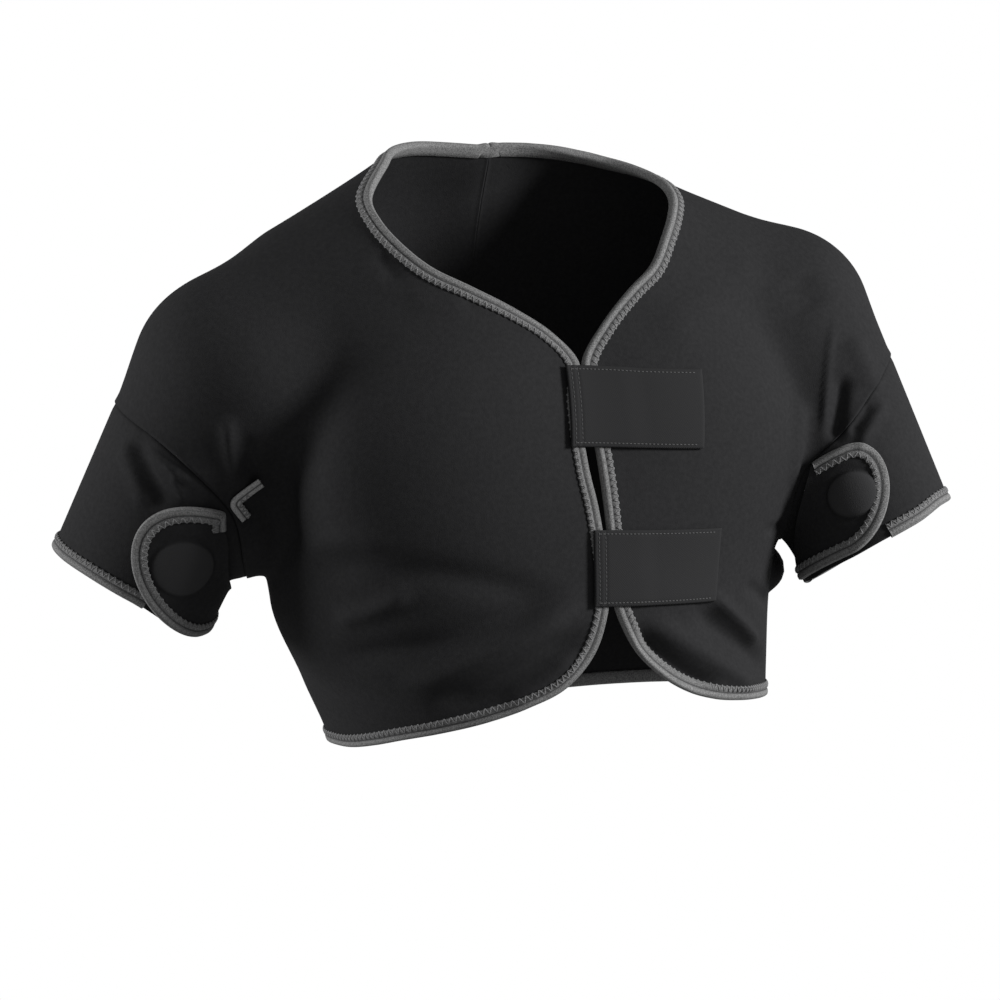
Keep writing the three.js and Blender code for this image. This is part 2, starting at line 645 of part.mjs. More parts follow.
function strapMesh(name) {
  const { start, height, fall, sewnSlant, freeSlant } = STRAPS[name];
  const grid = Array.from({ length: STRAP_STEPS.along + 1 }, (unused, i) => Array.from(
    { length: STRAP_STEPS.across + 1 },
    (unusedToo, j) => {
      const u = i / STRAP_STEPS.along;
      const v = j / STRAP_STEPS.across;
      const slant = THREE.MathUtils.lerp(sewnSlant, freeSlant, u) * v;
      const x = (start + u + slant) * STRAP.length;
      return frontPoint(x, height * DROP - (fall * u + v) * STRAP.height);
    },
  ));
  const levels = (spot) => {
    const [from, to] = [STRAP_DROP.start * STRAP.length, STRAP_DROP.end * STRAP.length];
    const drop = THREE.MathUtils.smoothstep(spot.point.x, from, to);
    const low = THREE.MathUtils.lerp(STRAP_LEVEL.overBinding, STRAP_LEVEL.overCloth, drop) + GAP;
    return { low, high: low + STRAP.cloth };
  };
  return clothMesh(name, COLOURS.strap, grid, false, levels);
}

function armpitTape() {
  const corners = ARMPIT_TAPE.path.map(([angle, along]) => armSurface('right', angle, along * SLEEVE_REACH).point);
  const [start, bend, end] = corners;
  const stations = [start, bend.clone().lerp(start, 0.1), bend, bend.clone().lerp(end, 0.5), end];
  const grid = stations.map((p, i) => {
    const before = stations[Math.max(i - 1, 0)];
    const after = stations[Math.min(i + 1, stations.length - 1)];
    const { normal } = settle(p);
    const side = new THREE.Vector3().crossVectors(after.clone().sub(before), normal).normalize();
    return [-0.5, 0.5].map((share) => settle(p.clone().addScaledVector(side, share * TAPE_REACH)));
  });
  const low = CLOTH + ARMPIT_TAPE.lift;
  return clothMesh('right_armpit_binding_end', COLOURS.binding, grid, false, between(low, low + TAPE));
}

const brace = new THREE.Group();
brace.name = 'shoulder_brace';
const bodies = {};
for (const side of Object.keys(sides)) {
  const body = bodyGrid(side);
  bodies[side] = body;
  brace.add(clothMesh(`${side}_body_panel`, COLOURS.body, body, true, between(0, CLOTH)));
  const sleeve = sleeveGrid(side, body.map((row) => row[0]));
  brace.add(clothMesh(`${side}_sleeve`, COLOURS.sleeve, sleeve, true, between(0, CLOTH)));
  const hem = hemEdge(sleeve, HEM_BINDING[side]);
  brace.add(bindingMesh(`${side}_sleeve_binding`, hem, false, 0, CLOTH, GAP));
  const flap = flapGrid(side);
  const flapTop = FLAP_LOW + FLAP.cloth;
  brace.add(clothMesh(`${side}_sleeve_flap`, COLOURS.sleeve, flap, false, between(FLAP_LOW, flapTop)));
  brace.add(bindingMesh(`${side}_flap_binding`, flapEdge(flap), false, FLAP_LOW, flapTop, FLAP.tapeGap));
}
brace.add(bindingMesh('edge_binding', perimeterEdge(bodies.right, bodies.left), true, 0, CLOTH, GAP));
for (const name of Object.keys(STRAPS)) brace.add(strapMesh(name));
brace.add(armpitTape());

export default brace;
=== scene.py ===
"""Looks of the neoprene double shoulder brace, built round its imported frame."""
import math

import bpy
import numpy as np
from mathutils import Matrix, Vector


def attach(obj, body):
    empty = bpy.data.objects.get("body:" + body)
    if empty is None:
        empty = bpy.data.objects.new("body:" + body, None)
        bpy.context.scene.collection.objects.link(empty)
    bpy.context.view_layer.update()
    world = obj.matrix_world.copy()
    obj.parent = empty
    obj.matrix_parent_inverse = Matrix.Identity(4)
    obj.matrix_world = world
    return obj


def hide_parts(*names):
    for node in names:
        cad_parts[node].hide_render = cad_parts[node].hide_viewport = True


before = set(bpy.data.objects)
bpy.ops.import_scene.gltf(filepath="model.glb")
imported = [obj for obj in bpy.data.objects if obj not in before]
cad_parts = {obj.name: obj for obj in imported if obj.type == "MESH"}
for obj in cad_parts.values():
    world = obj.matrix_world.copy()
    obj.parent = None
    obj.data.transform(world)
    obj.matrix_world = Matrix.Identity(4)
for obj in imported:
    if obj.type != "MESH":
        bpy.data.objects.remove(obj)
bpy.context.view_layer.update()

# Everything is worked out in millimetres and turned into metres when a mesh is made
MM = 0.001

# Sizes of the wearer's form that the brace takes
CHEST_HALF_WIDTH = 180
CHEST_FRONT = 132
CHEST_BACK = 84
DROP = 400
HALF_SPAN = 203
ARM_RADIUS = 57
WRISTWARD_RADIUS = 52
ARM_LENGTH = 260
SLEEVE_REACH = 165
TORSO_POWER = 2.35

# Cloth, binding, strap and flap sizes
CLOTH = 3.0
TAPE = 1.0
TAPE_REACH = 8.6
TAPE_GAP = 0.4
FLAP_CLOTH = 2.5
FLAP_GAP = 0.9
FLAP_HALF_WIDTH = {"right": 45, "left": 34}
FLAP_LOW = CLOTH + 2 * FLAP_GAP + TAPE
STRAP_LENGTH = 98
STRAP_HEIGHT = 50
STRAP_CLOTH = 1.8
STRAP_LIFT = 1.0

# Mesh density: coarse steps of the cut pattern, and how often each is divided
RING_STEPS = 48
BODY_ROWS = 11
SLEEVE_ROWS = 5
FLAP_STEPS = 10
FINE = 8
FLAP_FINE = 10

# How points are found on the form. Lengths are in millimetres
TINY = 1e-6
FIELD_SLOPE = 0.9
SLOPE_STEP = 0.4
SETTLE_ROUNDS = 14
SETTLE_NEAR = 0.004
SETTLE_STRIDE = 14
REFINE_ROUNDS = 6
SHARPEST_BEND = 0.6
SEARCH_SHARES = (0.1, 1.5)
SEARCH_STEP = 4
SEARCH_HALVINGS = 24
FRONT_SHARES = (-0.15, -2.0)
FRONT_HALVINGS = 30
# Rounds that even out the armhole, a panel, a sleeve, and the rounds of settling in between
ARMHOLE_ROUNDS = 3
BODY_ROUNDS = 24
SLEEVE_ROUNDS = 4
EVEN_SETTLE_ROUNDS = 4

# The photograph's frame and the place of the camera
PHOTO_SIDE = 1000
MM_PER_PIXEL = 0.68
CAMERA_TURN = -25
CAMERA_RISE = 10
CAMERA_DISTANCE = 3000
CAMERA_AIM = (-12.92, -227.8)
CAMERA_CLIP = (0.1, 60)
SENSOR = 36
# Walk from the camera to the cloth: where it starts before the target, how many steps it takes,
# its longest steps back and ahead, and the share of each that is taken
SEEN_START = 420
SEEN_STEPS = 160
SEEN_STRIDE = (-6, 12)
SEEN_SHARE = 0.7

# Torso: one row per level, an oval with its own depth in front and behind:
# height / drop, half width / chest, front / chest, back / chest, shift / chest half width
TORSO = [
    (-1.4, 0.822, 0.894, 0.952, 0.1),
    (-1.15, 0.822, 0.894, 0.929, 0.12),
    (-1, 0.84, 0.939, 0.905, 0.106),
    (-0.8625, 0.902, 0.985, 0.905, 0.046),
    (-0.725, 0.973, 1, 0.94, -0.01),
    (-0.5875, 1, 0.955, 0.976, -0.011),
    (-0.45, 0.978, 0.848, 1, 0),
    (-0.3125, 0.911, 0.697, 0.976, 0),
    (-0.1875, 0.761, 0.515, 0.881, -0.022),
    (-0.075, 0.511, 0.356, 0.714, -0.056),
    (0.025, 0.322, 0.258, 0.571, -0.039),
    (0.1, 0.3, 0.258, 0.548, -0.022),
]

# Muscles of each side, as shares of half span, chest depth and drop;
# thicknesses and widths of the blends as shares of the arm's radius
CHEST_MUSCLE = {"at": (0.414, -0.5, -0.4625), "size": (0.414, 0.333, 0.185), "blend": 0.79}
YOKE = {"inner": (0.296, 0.03, -0.155), "outer": (0.921, 0, 0.02), "radii": (0.98, 0.88), "blend": 0.79}
SIDES = {
    "right": {
        "sign": -1, "shoulder": (1.035, 0.121), "shoulder_drop": 134, "arm": (0.354, 0.232, -0.903),
        "slope": {
            "inner": (0.286, 0.036, -0.075), "outer": (0.754, 0.136, -0.19),
            "radii": (0.67, 0.6), "blend": 0.7,
        },
        "arm_blend": 0.7,
    },
    "left": {
        "sign": 1, "shoulder": (1, -0.045), "shoulder_drop": 117, "arm": (0.211, -0.437, -0.875),
        "slope": {
            "inner": (0.286, 0.136, -0.105), "outer": (0.754, -0.03, -0.2),
            "radii": (0.34, 0.35), "blend": 0.7,
        },
        "arm_blend": 0.49,
    },
}
# Round folds of cloth at the left flank and at the top of the right armpit
FORM_FOLDS = [
    {"at": (0.823, -0.06, -0.7225), "size": (0.128, 0.303, 0.045), "blend": 0.21},
    {"at": (-0.98, 0.12, -0.615), "size": (0.1, 0.2, 0.045), "blend": 0.35},
]

# Armhole seam: angle round the arm, distance down the arm / sleeve reach, from its axis / radius
ARMHOLE = {
    "right": [
        (0, 0.27, 1), (30, 0.27, 1), (52, 0.295, 1), (82, 0.365, 0.98), (105, 0.435, 1),
        (120, 0.505, 1.02), (135, 0.59, 1.09), (150, 0.68, 1.16), (160, 0.71, 1.19),
        (170, 0.685, 1.11), (180, 0.6, 1.09), (195, 0.49, 1.05), (210, 0.42, 1.02),
        (240, 0.355, 1), (270, 0.325, 0.98), (300, 0.3, 0.98), (330, 0.28, 1),
    ],
    "left": [
        (0, 0.279, 1), (30, 0.303, 1), (50, 0.352, 1), (83, 0.467, 0.98), (107, 0.57, 0.98),
        (131, 0.63, 1.02), (145, 0.661, 1.12), (155, 0.703, 1.16), (165, 0.776, 1.16),
        (180, 0.842, 1.12), (195, 0.861, 1.12), (210, 0.83, 1.09), (225, 0.733, 1.09),
        (240, 0.6, 1.02), (255, 0.491, 1), (285, 0.4, 0.98), (320, 0.315, 1), (345, 0.279, 1),
    ],
}

# Sleeve hem: angle round the arm, distance down it / sleeve reach
SLEEVE_HEM = {
    "right": [
        (0, 0.925), (33, 0.914), (67, 0.925), (97, 0.965), (131, 1), (180, 1.03),
        (240, 1.02), (300, 0.96),
    ],
    "left": [
        (0, 0.965), (57, 1), (89, 1.047), (117, 1.07), (148, 1.085), (181, 1.085),
        (240, 1.045), (300, 0.99),
    ],
}

# Outer edge of each body panel: step round the armhole, turn in degrees from the front
# middle towards the panel's own side, and height / drop
EDGE = {
    "right": [
        (0, 92, 0.007), (1, 82, -0.04), (2, 74, -0.077), (3, 66, -0.115), (4, 57, -0.152),
        (5, 44, -0.185), (6, 29, -0.22), (7, 13, -0.26), (8, 2, -0.31), (9, 4.6, -0.37),
        (10, 4.6, -0.425), (11, 3.4, -0.48), (12, 1.2, -0.5375), (13, -0.2, -0.595),
        (14, -1, -0.6525), (15, -0.5, -0.71), (16, 3.5, -0.78), (17, 12, -0.835),
        (18, 23, -0.865), (19, 34, -0.8875), (20, 46, -0.9075), (21, 57, -0.925),
        (22, 68, -0.945), (23, 80, -0.9625), (24, 93, -0.9725), (26, 116, -0.9775),
        (28, 140, -0.975), (30, 163, -0.97), (31, 172, -0.9675), (32, 180, -0.965),
        (40, 180, 0.02), (41, 170, 0.021), (43, 148, 0.0255), (45, 126, 0.029), (47, 103, 0.022),
    ],
    "left": [
        (0, 97, -0.02), (1, 86, -0.0375), (2, 75, -0.06), (3, 65, -0.0875), (4, 56, -0.12),
        (5, 46, -0.165), (6, 33, -0.2025), (7, 15, -0.255), (8, 1.2, -0.31), (9, 0.4, -0.37),
        (10, 0.6, -0.425), (11, 1.6, -0.48), (12, 2.4, -0.5375), (13, 2.9, -0.595),
        (14, 3.4, -0.6525), (15, 4.2, -0.7125), (16, 11, -0.785), (17, 20, -0.835),
        (18, 29, -0.8675), (19, 38, -0.8875), (20, 47, -0.9), (21, 58, -0.9125),
        (22, 70, -0.925), (23, 81, -0.935), (24, 93, -0.945), (26, 116, -0.955),
        (28, 140, -0.96), (30, 163, -0.964), (31, 172, -0.965), (32, 180, -0.965),
        (40, 180, 0.02), (41, 170, 0.0225), (43, 148, 0.02), (45, 126, 0.01), (47, 107, -0.01),
    ],
}
BACK_LOW_STEP = 32
BACK_TOP_STEP = 40

# Rounded sleeve flaps: angles of the root and of the round end, and places along the sleeve
FLAP_SHAPE = {
    "right": {
        "root_angles": (104, 182), "root_along": (0.52, 0.97), "round_angles": (98, 124),
        "bulge_angle": 56, "middle": 0.72,
    },
    "left": {
        "root_angles": (145, 200), "root_along": (0.66, 1.06), "round_angles": (118, 140),
        "bulge_angle": 27.5, "middle": 0.86,
    },
}
# Part of the sleeve hem that is bound, in degrees round the arm
HEM_BINDING = {"right": (195, 436), "left": (210, 472)}

# Front straps, as shares of strap length, drop and strap height
STRAPS = {
    "upper_front_strap": {
        "start": -0.148, "height": -0.315, "fall": 0.14, "sewn": -0.052, "free": -0.056,
    },
    "lower_front_strap": {
        "start": -0.072, "height": -0.5775, "fall": 0.12, "sewn": -0.022, "free": -0.045,
    },
}
STRAP_DROP = (0.23, 0.416)
STRAP_FINE = (96, 48)
# Stitch rows: places of the sewn rows along a strap and of the edge rows across it, as shares
STRAP_SEWN = (0.035, 0.085)
STRAP_EDGE_SEAMS = (0.05, 0.95)
# Depth and width in millimetres of the rounded rim and of the grooves along both kinds of rows
STRAP_RIM = (0.7, 0.8)
SEWN_GROOVE = (0.45, 1.1)
EDGE_GROOVE = (0.3, 0.9)
# Length of a stitch, its step, its radius and its height over the strap in millimetres
STRAP_STITCH = 1.9
STRAP_STITCH_STEP = 2.8
STRAP_STITCH_RADIUS = 0.32
STRAP_STITCH_RISE = 0.12
# Ends of the edge rows as shares of the length, and of the sewn rows in millimetres from both edges
EDGE_ROW_END = 0.93
SEWN_ROW_ENDS = (1.5, 3.5)

# Loose binding end in the right armpit crease: angle, distance / sleeve reach;
# its width, lift, height of its two bands, and width of the painted shade in the groove between them as a
# share
ARMPIT_TAPE = [(120, 0.45), (103.5, 0.395), (114.5, 0.265)]
ARMPIT_TAPE_WIDTH = 8.0
ARMPIT_TAPE_LIFT = 1.2
ARMPIT_TAPE_BAND = 0.35
ARMPIT_TAPE_SHADE_WIDTH = 0.08
ARMPIT_TAPE_COLUMNS = 13
# Where the two legs of its path are bent, its step and how often the path is evened out
ARMPIT_TAPE_BENDS = (0.1, 0.5)
ARMPIT_TAPE_STEP = 1.0
ARMPIT_TAPE_ROUNDS = 12


def curve(rows, column, period=0.0):
    """Smooth curve through one column of table rows that never overshoots them."""
    points = [(row[0], row[column]) for row in rows]
    if period:
        points.append((points[0][0] + period, points[0][1]))
    xs, ys = np.array(points, float).T
    rise = np.diff(ys) / np.diff(xs)
    before = np.concatenate([rise[-1:] if period else rise[:1], rise])
    after = np.concatenate([rise, rise[:1] if period else rise[-1:]])
    product = before * after
    total = np.where(product > 0, before + after, 1.0)
    slopes = np.where(product > 0, 2 * product / total, 0.0)

    def at(x):
        x = np.asarray(x, float)
        if period:
            x = (x - xs[0]) % period + xs[0]
        x = np.clip(x, xs[0], xs[-1])
        i = np.clip(np.searchsorted(xs, x, side="left") - 1, 0, len(xs) - 2)
        h = xs[i + 1] - xs[i]
        t = (x - xs[i]) / h
        t2 = t * t
        t3 = t2 * t
        start = (2 * t3 - 3 * t2 + 1) * ys[i] + (t3 - 2 * t2 + t) * h * slopes[i]
        return start + (3 * t2 - 2 * t3) * ys[i + 1] + (t3 - t2) * h * slopes[i + 1]

    return at


# The worn form

TORSO_CURVES = [curve(TORSO, column) for column in (1, 2, 3, 4)]
TORSO_SIZES = (CHEST_HALF_WIDTH, CHEST_FRONT, CHEST_BACK, CHEST_HALF_WIDTH)


def torso_field(p):
    level = p[:, 2] / DROP
    half_width, front, back, shift = (c(level) * size for c, size in zip(TORSO_CURVES, TORSO_SIZES))
    dx = np.abs(p[:, 0] - shift)
    dy = np.abs(p[:, 1])
    depth = np.where(p[:, 1] < 0, front, back)
    ratio = ((dx / half_width) ** TORSO_POWER + (dy / depth) ** TORSO_POWER) ** (1 / TORSO_POWER)
    return np.hypot(dx, dy) * (1 - 1 / np.maximum(ratio, TINY)) * FIELD_SLOPE


def round_cone(p, a, b, radius_a, radius_b):
    ab = b - a
    t = np.clip((p - a) @ ab / (ab @ ab), 0, 1)
    off = np.linalg.norm(p - a - t[:, None] * ab, axis=1)
    return off - radius_a - (radius_b - radius_a) * t


def ellipsoid(p, at, size):
    q = (p - at) / size
    near = np.linalg.norm(q, axis=1)
    far = np.linalg.norm(q / size, axis=1)
    return near * (near - 1) / np.maximum(far, TINY)


def blend(a, b, width):
    h = np.clip(0.5 + 0.5 * (b - a) / width, 0, 1)
    return b * (1 - h) + a * h - width * h * (1 - h)


def smoothstep(x, low, high):
    t = np.clip((x - low) / (high - low), 0, 1)
    return t * t * (3 - 2 * t)


def unit(v):
    return v / np.linalg.norm(v, axis=-1, keepdims=True)


# Size in millimetres that each share of a place on the form stands for
FORM_SCALE = np.array([HALF_SPAN, CHEST_FRONT, DROP])


def prepare_side(side):
    """Directions of an arm, and the shapes of its side with their sizes and blends."""
    def place(point):
        return point * FORM_SCALE * (side["sign"], 1, 1)

    def cone(shape, start, end):
        return round_cone, (start, end, *(r * ARM_RADIUS for r in shape["radii"])), shape["blend"]

    shoulder = place((*side["shoulder"], 0))
    shoulder[2] = -side["shoulder_drop"]
    axis = unit(np.array(side["arm"]) * (side["sign"], 1, 1))
    outside = np.array([side["sign"], 0.0, 0.0])
    outside = unit(outside - axis * (outside @ axis))
    front = np.cross(axis, outside)
    if front[1] > 0:
        front = -front
    yoke_x, yoke_y, yoke_rise = YOKE["outer"]
    yoke_end = shoulder * (yoke_x, 1, 1) + (0, yoke_y, yoke_rise * DROP)
    chest = (place(CHEST_MUSCLE["at"]), CHEST_MUSCLE["size"] * FORM_SCALE)
    slope = side["slope"]
    arm = (shoulder, shoulder + axis * ARM_LENGTH, ARM_RADIUS, WRISTWARD_RADIUS)
    return {
        "sign": side["sign"],
        "axis": axis,
        "outside": outside,
        "front": front,
        "shoulder": shoulder,
        "shapes": [
            (ellipsoid, chest, CHEST_MUSCLE["blend"]),
            cone(YOKE, place(YOKE["inner"]), yoke_end),
            cone(slope, place(slope["inner"]), place(slope["outer"])),
            (round_cone, arm, side["arm_blend"]),
        ],
    }


FORM = {name: prepare_side(side) for name, side in SIDES.items()}
SHAPES = [shape for side in FORM.values() for shape in side["shapes"]]
SHAPES += [(ellipsoid, (fold["at"] * FORM_SCALE, fold["size"] * FORM_SCALE), fold["blend"])
           for fold in FORM_FOLDS]


def field(p):
    """Distance-like value at points of the worn form, negative inside it."""
    d = torso_field(p)
    for shape, sizes, width in SHAPES:
        d = blend(d, shape(p, *sizes), width * ARM_RADIUS)
    return d


def gradient(p):
    shifts = np.eye(3) * SLOPE_STEP
    return np.stack([(field(p + shift) - field(p - shift)) / (2 * SLOPE_STEP) for shift in shifts], axis=1)


def settle(p, rounds=SETTLE_ROUNDS):
    """Moves points onto the worn form and gives their places and outward directions."""
    shape = p.shape
    p = np.array(p, float).reshape(-1, 3)
    active = np.arange(len(p))
    for _ in range(rounds):
        value = field(p[active])
        off = np.abs(value) > SETTLE_NEAR
        active = active[off]
        if not len(active):
            break
        slope = gradient(p[active])
        step = np.clip(value[off] / (slope ** 2).sum(1), -SETTLE_STRIDE, SETTLE_STRIDE)
        p[active] -= slope * step[:, None]
    return p.reshape(shape), unit(gradient(p)).reshape(shape)


def arm_point(side, angle, along, reach):
    turn = np.radians(np.asarray(angle, float))[..., None]
    form = FORM[side]
    p = form["shoulder"] + form["axis"] * np.asarray(along, float)[..., None]
    out = form["outside"] * np.cos(turn) + form["front"] * np.sin(turn)
    return p + out * np.asarray(reach, float)[..., None]


def arm_surface(side, angle, along):
    angle, along = np.broadcast_arrays(np.asarray(angle, float), np.asarray(along, float))
    return settle(arm_point(side, angle, along, np.full(angle.shape, ARM_RADIUS)))


def halve(inside, outside, place, rounds):
    """Points of the form between inner and outer distances, which place turns into points."""
    for _ in range(rounds):
        middle = (inside + outside) / 2
        is_out = field(place(middle)) > 0
        outside = np.where(is_out, middle, outside)
        inside = np.where(is_out, inside, middle)
    return place(inside)


def torso_point(side, turn, height):
    """Points of the torso's outside seen from its middle line."""
    angle = np.radians(turn)
    out = np.stack([FORM[side]["sign"] * np.sin(angle), -np.cos(angle), np.zeros_like(angle)], 1)
    base = height[:, None] * (0, 0, 1)

    def place(r):
        return base + out * r[:, None]

    nearest, farthest = (share * CHEST_HALF_WIDTH for share in SEARCH_SHARES)
    steps = np.arange(nearest, farthest, SEARCH_STEP)
    is_out = np.array([field(place(np.full(len(turn), r))) > 0 for r in steps])
    first = np.where(is_out.any(0), is_out.argmax(0), len(steps))
    bounds = np.array([nearest, *steps, farthest])
    return halve(bounds[first], bounds[first + 1], place, SEARCH_HALVINGS)


# The cut pattern: grids of points on the worn form

RING_ANGLES = np.arange(RING_STEPS) * 360 / RING_STEPS


def armhole_ring(side):
    along = curve(ARMHOLE[side], 1, 360)(RING_ANGLES) * SLEEVE_REACH
    reach = curve(ARMHOLE[side], 2, 360)(RING_ANGLES) * ARM_RADIUS
    ring, _ = settle(arm_point(side, RING_ANGLES, along, reach))
    for _ in range(ARMHOLE_ROUNDS):
        ring, _ = settle(0.25 * (np.roll(ring, 1, 0) + np.roll(ring, -1, 0)) + 0.5 * ring)
    return ring


def panel_edge(side):
    step = np.arange(RING_STEPS)
    turn = curve(EDGE[side], 1, RING_STEPS)(step)
    height = curve(EDGE[side], 2, RING_STEPS)(step) * DROP
    p = torso_point(side, turn, height)
    on_back = (step >= BACK_LOW_STEP) & (step <= BACK_TOP_STEP)
    p[on_back, 0] = FORM[side]["sign"] * TAPE_GAP / 2
    return p


def border_row(edge, centre, closed=True):
    """Points beside an edge, moved inwards by the reach of the binding tape."""
    before = unit(edge - np.roll(edge, 1, 0))
    after = unit(np.roll(edge, -1, 0) - edge)
    if not closed:
        before[0] = after[0]
        after[-1] = before[-1]
    bend = np.sqrt(np.maximum((1 + (before * after).sum(1)) / 2, 0))
    normal = unit(gradient(edge))
    inward = unit(np.cross(before + after, normal))
    wrong = (inward * (centre - edge)).sum(1) < 0
    inward[wrong] *= -1
    return settle(edge + inward * (TAPE_REACH / np.maximum(bend, SHARPEST_BEND))[:, None])[0]


def relax(grid, rounds):
    """Evens out the inside of a grid that is closed round its first index."""
    for _ in range(rounds):
        mean = (np.roll(grid, 1, 0) + np.roll(grid, -1, 0))[:, 1:-2]
        mean = (mean + grid[:, :-3] + grid[:, 2:-1]) / 4
        grid[:, 1:-2] = settle(mean, EVEN_SETTLE_ROUNDS)[0]
    return grid


def refine(grid, rows, columns, ringed):
    """A grid with more points, on smooth curves through the given ones, back on the form."""
    def weights(count, fine, closed):
        spans = count if closed else count - 1
        at = np.arange(spans * fine + (0 if closed else 1)) / fine
        i = np.minimum(at.astype(int), spans - 1)
        t = at - i
        basis = np.stack([
            -0.5 * t ** 3 + t ** 2 - 0.5 * t,
            1.5 * t ** 3 - 2.5 * t ** 2 + 1,
            -1.5 * t ** 3 + 2 * t ** 2 + 0.5 * t,
            0.5 * t ** 3 - 0.5 * t ** 2,
        ], 1)
        rows = np.eye(count)
        if closed:
            rows = np.concatenate([rows[-1:], rows, rows[:2]])
        else:
            rows = np.concatenate([2 * rows[:1] - rows[1:2], rows, 2 * rows[-1:] - rows[-2:-1]])
        return sum(basis[:, k:k + 1] * rows[i + k] for k in range(4))

    first = weights(grid.shape[0], rows, ringed)
    second = weights(grid.shape[1], columns, False)
    fine = np.einsum("ai,ijc,bj->abc", first, grid, second)
    return settle(fine, REFINE_ROUNDS)


def body_grid(side):
    ring = armhole_ring(side)
    edge = panel_edge(side)
    border = border_row(edge, ring)
    share = np.linspace(0, 1, BODY_ROWS)[None, :, None]
    inner, _ = settle(ring[:, None] * (1 - share) + border[:, None] * share)
    inner[:, 0] = ring
    grid = np.concatenate([inner, edge[:, None]], 1)
    return relax(grid, BODY_ROUNDS)


def sleeve_grid(side, ring):
    top = curve(ARMHOLE[side], 1, 360)(RING_ANGLES) * SLEEVE_REACH
    hem = curve(SLEEVE_HEM[side], 1, 360)(RING_ANGLES) * SLEEVE_REACH
    foot, _ = arm_surface(side, RING_ANGLES, hem)
    border = border_row(foot, ring)
    rows = [ring]
    for j in range(1, SLEEVE_ROWS - 1):
        along = top + (hem - TAPE_REACH - top) * j / (SLEEVE_ROWS - 1)
        reach = np.full(RING_STEPS, WRISTWARD_RADIUS)
        rows.append(settle(arm_point(side, RING_ANGLES, along, reach))[0])
    rows += [border, foot]
    return relax(np.stack(rows, 1), SLEEVE_ROUNDS)


def flap_grid(side):
    shape = FLAP_SHAPE[side]
    steps = FLAP_STEPS * FLAP_FINE
    across = np.sin(np.pi / 2 * (2 * np.arange(steps + 1) / steps - 1))[None, :]
    share = (across + 1) / 2
    u = np.linspace(0, 1, steps + 1)[:, None]

    def mix(pair, t):
        return pair[0] + (pair[1] - pair[0]) * t

    bulge = shape["bulge_angle"] * np.sqrt(np.maximum(0, 1 - across ** 2))
    end_angle = mix(shape["round_angles"], share) - bulge
    end_along = shape["middle"] * SLEEVE_REACH + FLAP_HALF_WIDTH[side] * across
    root_angle = mix(shape["root_angles"], share)
    root_along = mix(shape["root_along"], share) * SLEEVE_REACH
    angle = root_angle + (end_angle - root_angle) * u
    along = root_along + (end_along - root_along) * u
    return arm_surface(side, angle, along)


# Camera, and the points of the form that it sees at a place in the photograph

def camera_axes():
    turn = math.radians(CAMERA_TURN)
    rise = math.radians(CAMERA_RISE)
    back = np.array([math.sin(turn) * math.cos(rise), -math.cos(turn) * math.cos(rise), math.sin(rise)])
    right = unit(np.cross((0, 0, 1), back))
    up = np.cross(back, right)
    return right, up, back


CAMERA_RIGHT, CAMERA_UP, CAMERA_BACK = camera_axes()
CAMERA_TARGET = CAMERA_RIGHT * CAMERA_AIM[0] + CAMERA_UP * CAMERA_AIM[1]
CAMERA_PLACE = CAMERA_TARGET + CAMERA_BACK * CAMERA_DISTANCE


def place_object(data, place, direction):
    """Puts a camera or a lamp into the scene, pointed along a direction."""
    obj = bpy.data.objects.new(data.name, data)
    obj.location = Vector(place)
    obj.rotation_mode = "QUATERNION"
    obj.rotation_quaternion = Vector(direction).to_track_quat("-Z", "Y")
    bpy.context.scene.collection.objects.link(obj)
    return obj


def make_camera():
    data = bpy.data.cameras.new("photo_camera")
    data.sensor_width = SENSOR
    data.lens = SENSOR * CAMERA_DISTANCE / (PHOTO_SIDE * MM_PER_PIXEL)
    data.clip_start, data.clip_end = CAMERA_CLIP
    bpy.context.scene.camera = place_object(data, CAMERA_PLACE * MM, -CAMERA_BACK)


def seen(pixels):
    """Points of the worn form at places in the photograph, given as pixels from its top left."""
    away = (np.array(pixels, float) - PHOTO_SIDE / 2) * MM_PER_PIXEL
    aim = CAMERA_TARGET + away[:, :1] * CAMERA_RIGHT - away[:, 1:] * CAMERA_UP
    ray = unit(aim - CAMERA_PLACE)
    t = np.full(len(ray), float(CAMERA_DISTANCE - SEEN_START))
    for _ in range(SEEN_STEPS):
        t += np.clip(field(CAMERA_PLACE + ray * t[:, None]) - CLOTH, *SEEN_STRIDE) * SEEN_SHARE
    return CAMERA_PLACE + ray * t[:, None]


# Meshes

def make_object(name, vertices, faces, material, attributes=None):
    mesh = bpy.data.meshes.new(name)
    mesh.from_pydata((np.asarray(vertices) * MM).tolist(), [], [list(face) for face in faces])
    for key, values in (attributes or {}).items():
        layer = mesh.attributes.new(key, "FLOAT", "POINT")
        layer.data.foreach_set("value", np.asarray(values, np.float32).ravel())
    mesh.polygons.foreach_set("use_smooth", [True] * len(mesh.polygons))
    mesh.materials.append(material)
    mesh.validate()
    mesh.update()
    obj = bpy.data.objects.new(name, mesh)
    bpy.context.scene.collection.objects.link(obj)
    return obj


def grid_faces(rows, columns, ringed, wrapped=False):
    """Faces of a grid, which may be closed round its first index and round its second."""
    k = np.arange(rows if ringed else rows - 1)[:, None]
    j = np.arange(columns if wrapped else columns - 1)[None, :]
    row = k * columns
    after = (k + 1) % rows * columns
    beside = (j + 1) % columns
    return np.stack([row + j, after + j, after + beside, row + beside], -1).reshape(-1, 4)


def outward(vertices, faces):
    """Four-cornered faces of a closed mesh, turned outwards by the sign of its volume."""
    v = vertices[faces[:, :3]]
    w = vertices[faces[:, [0, 2, 3]]]
    volume = (v[:, 0] * np.cross(v[:, 1], v[:, 2])).sum()
    volume += (w[:, 0] * np.cross(w[:, 1], w[:, 2])).sum()
    return faces if volume > 0 else faces[:, ::-1]


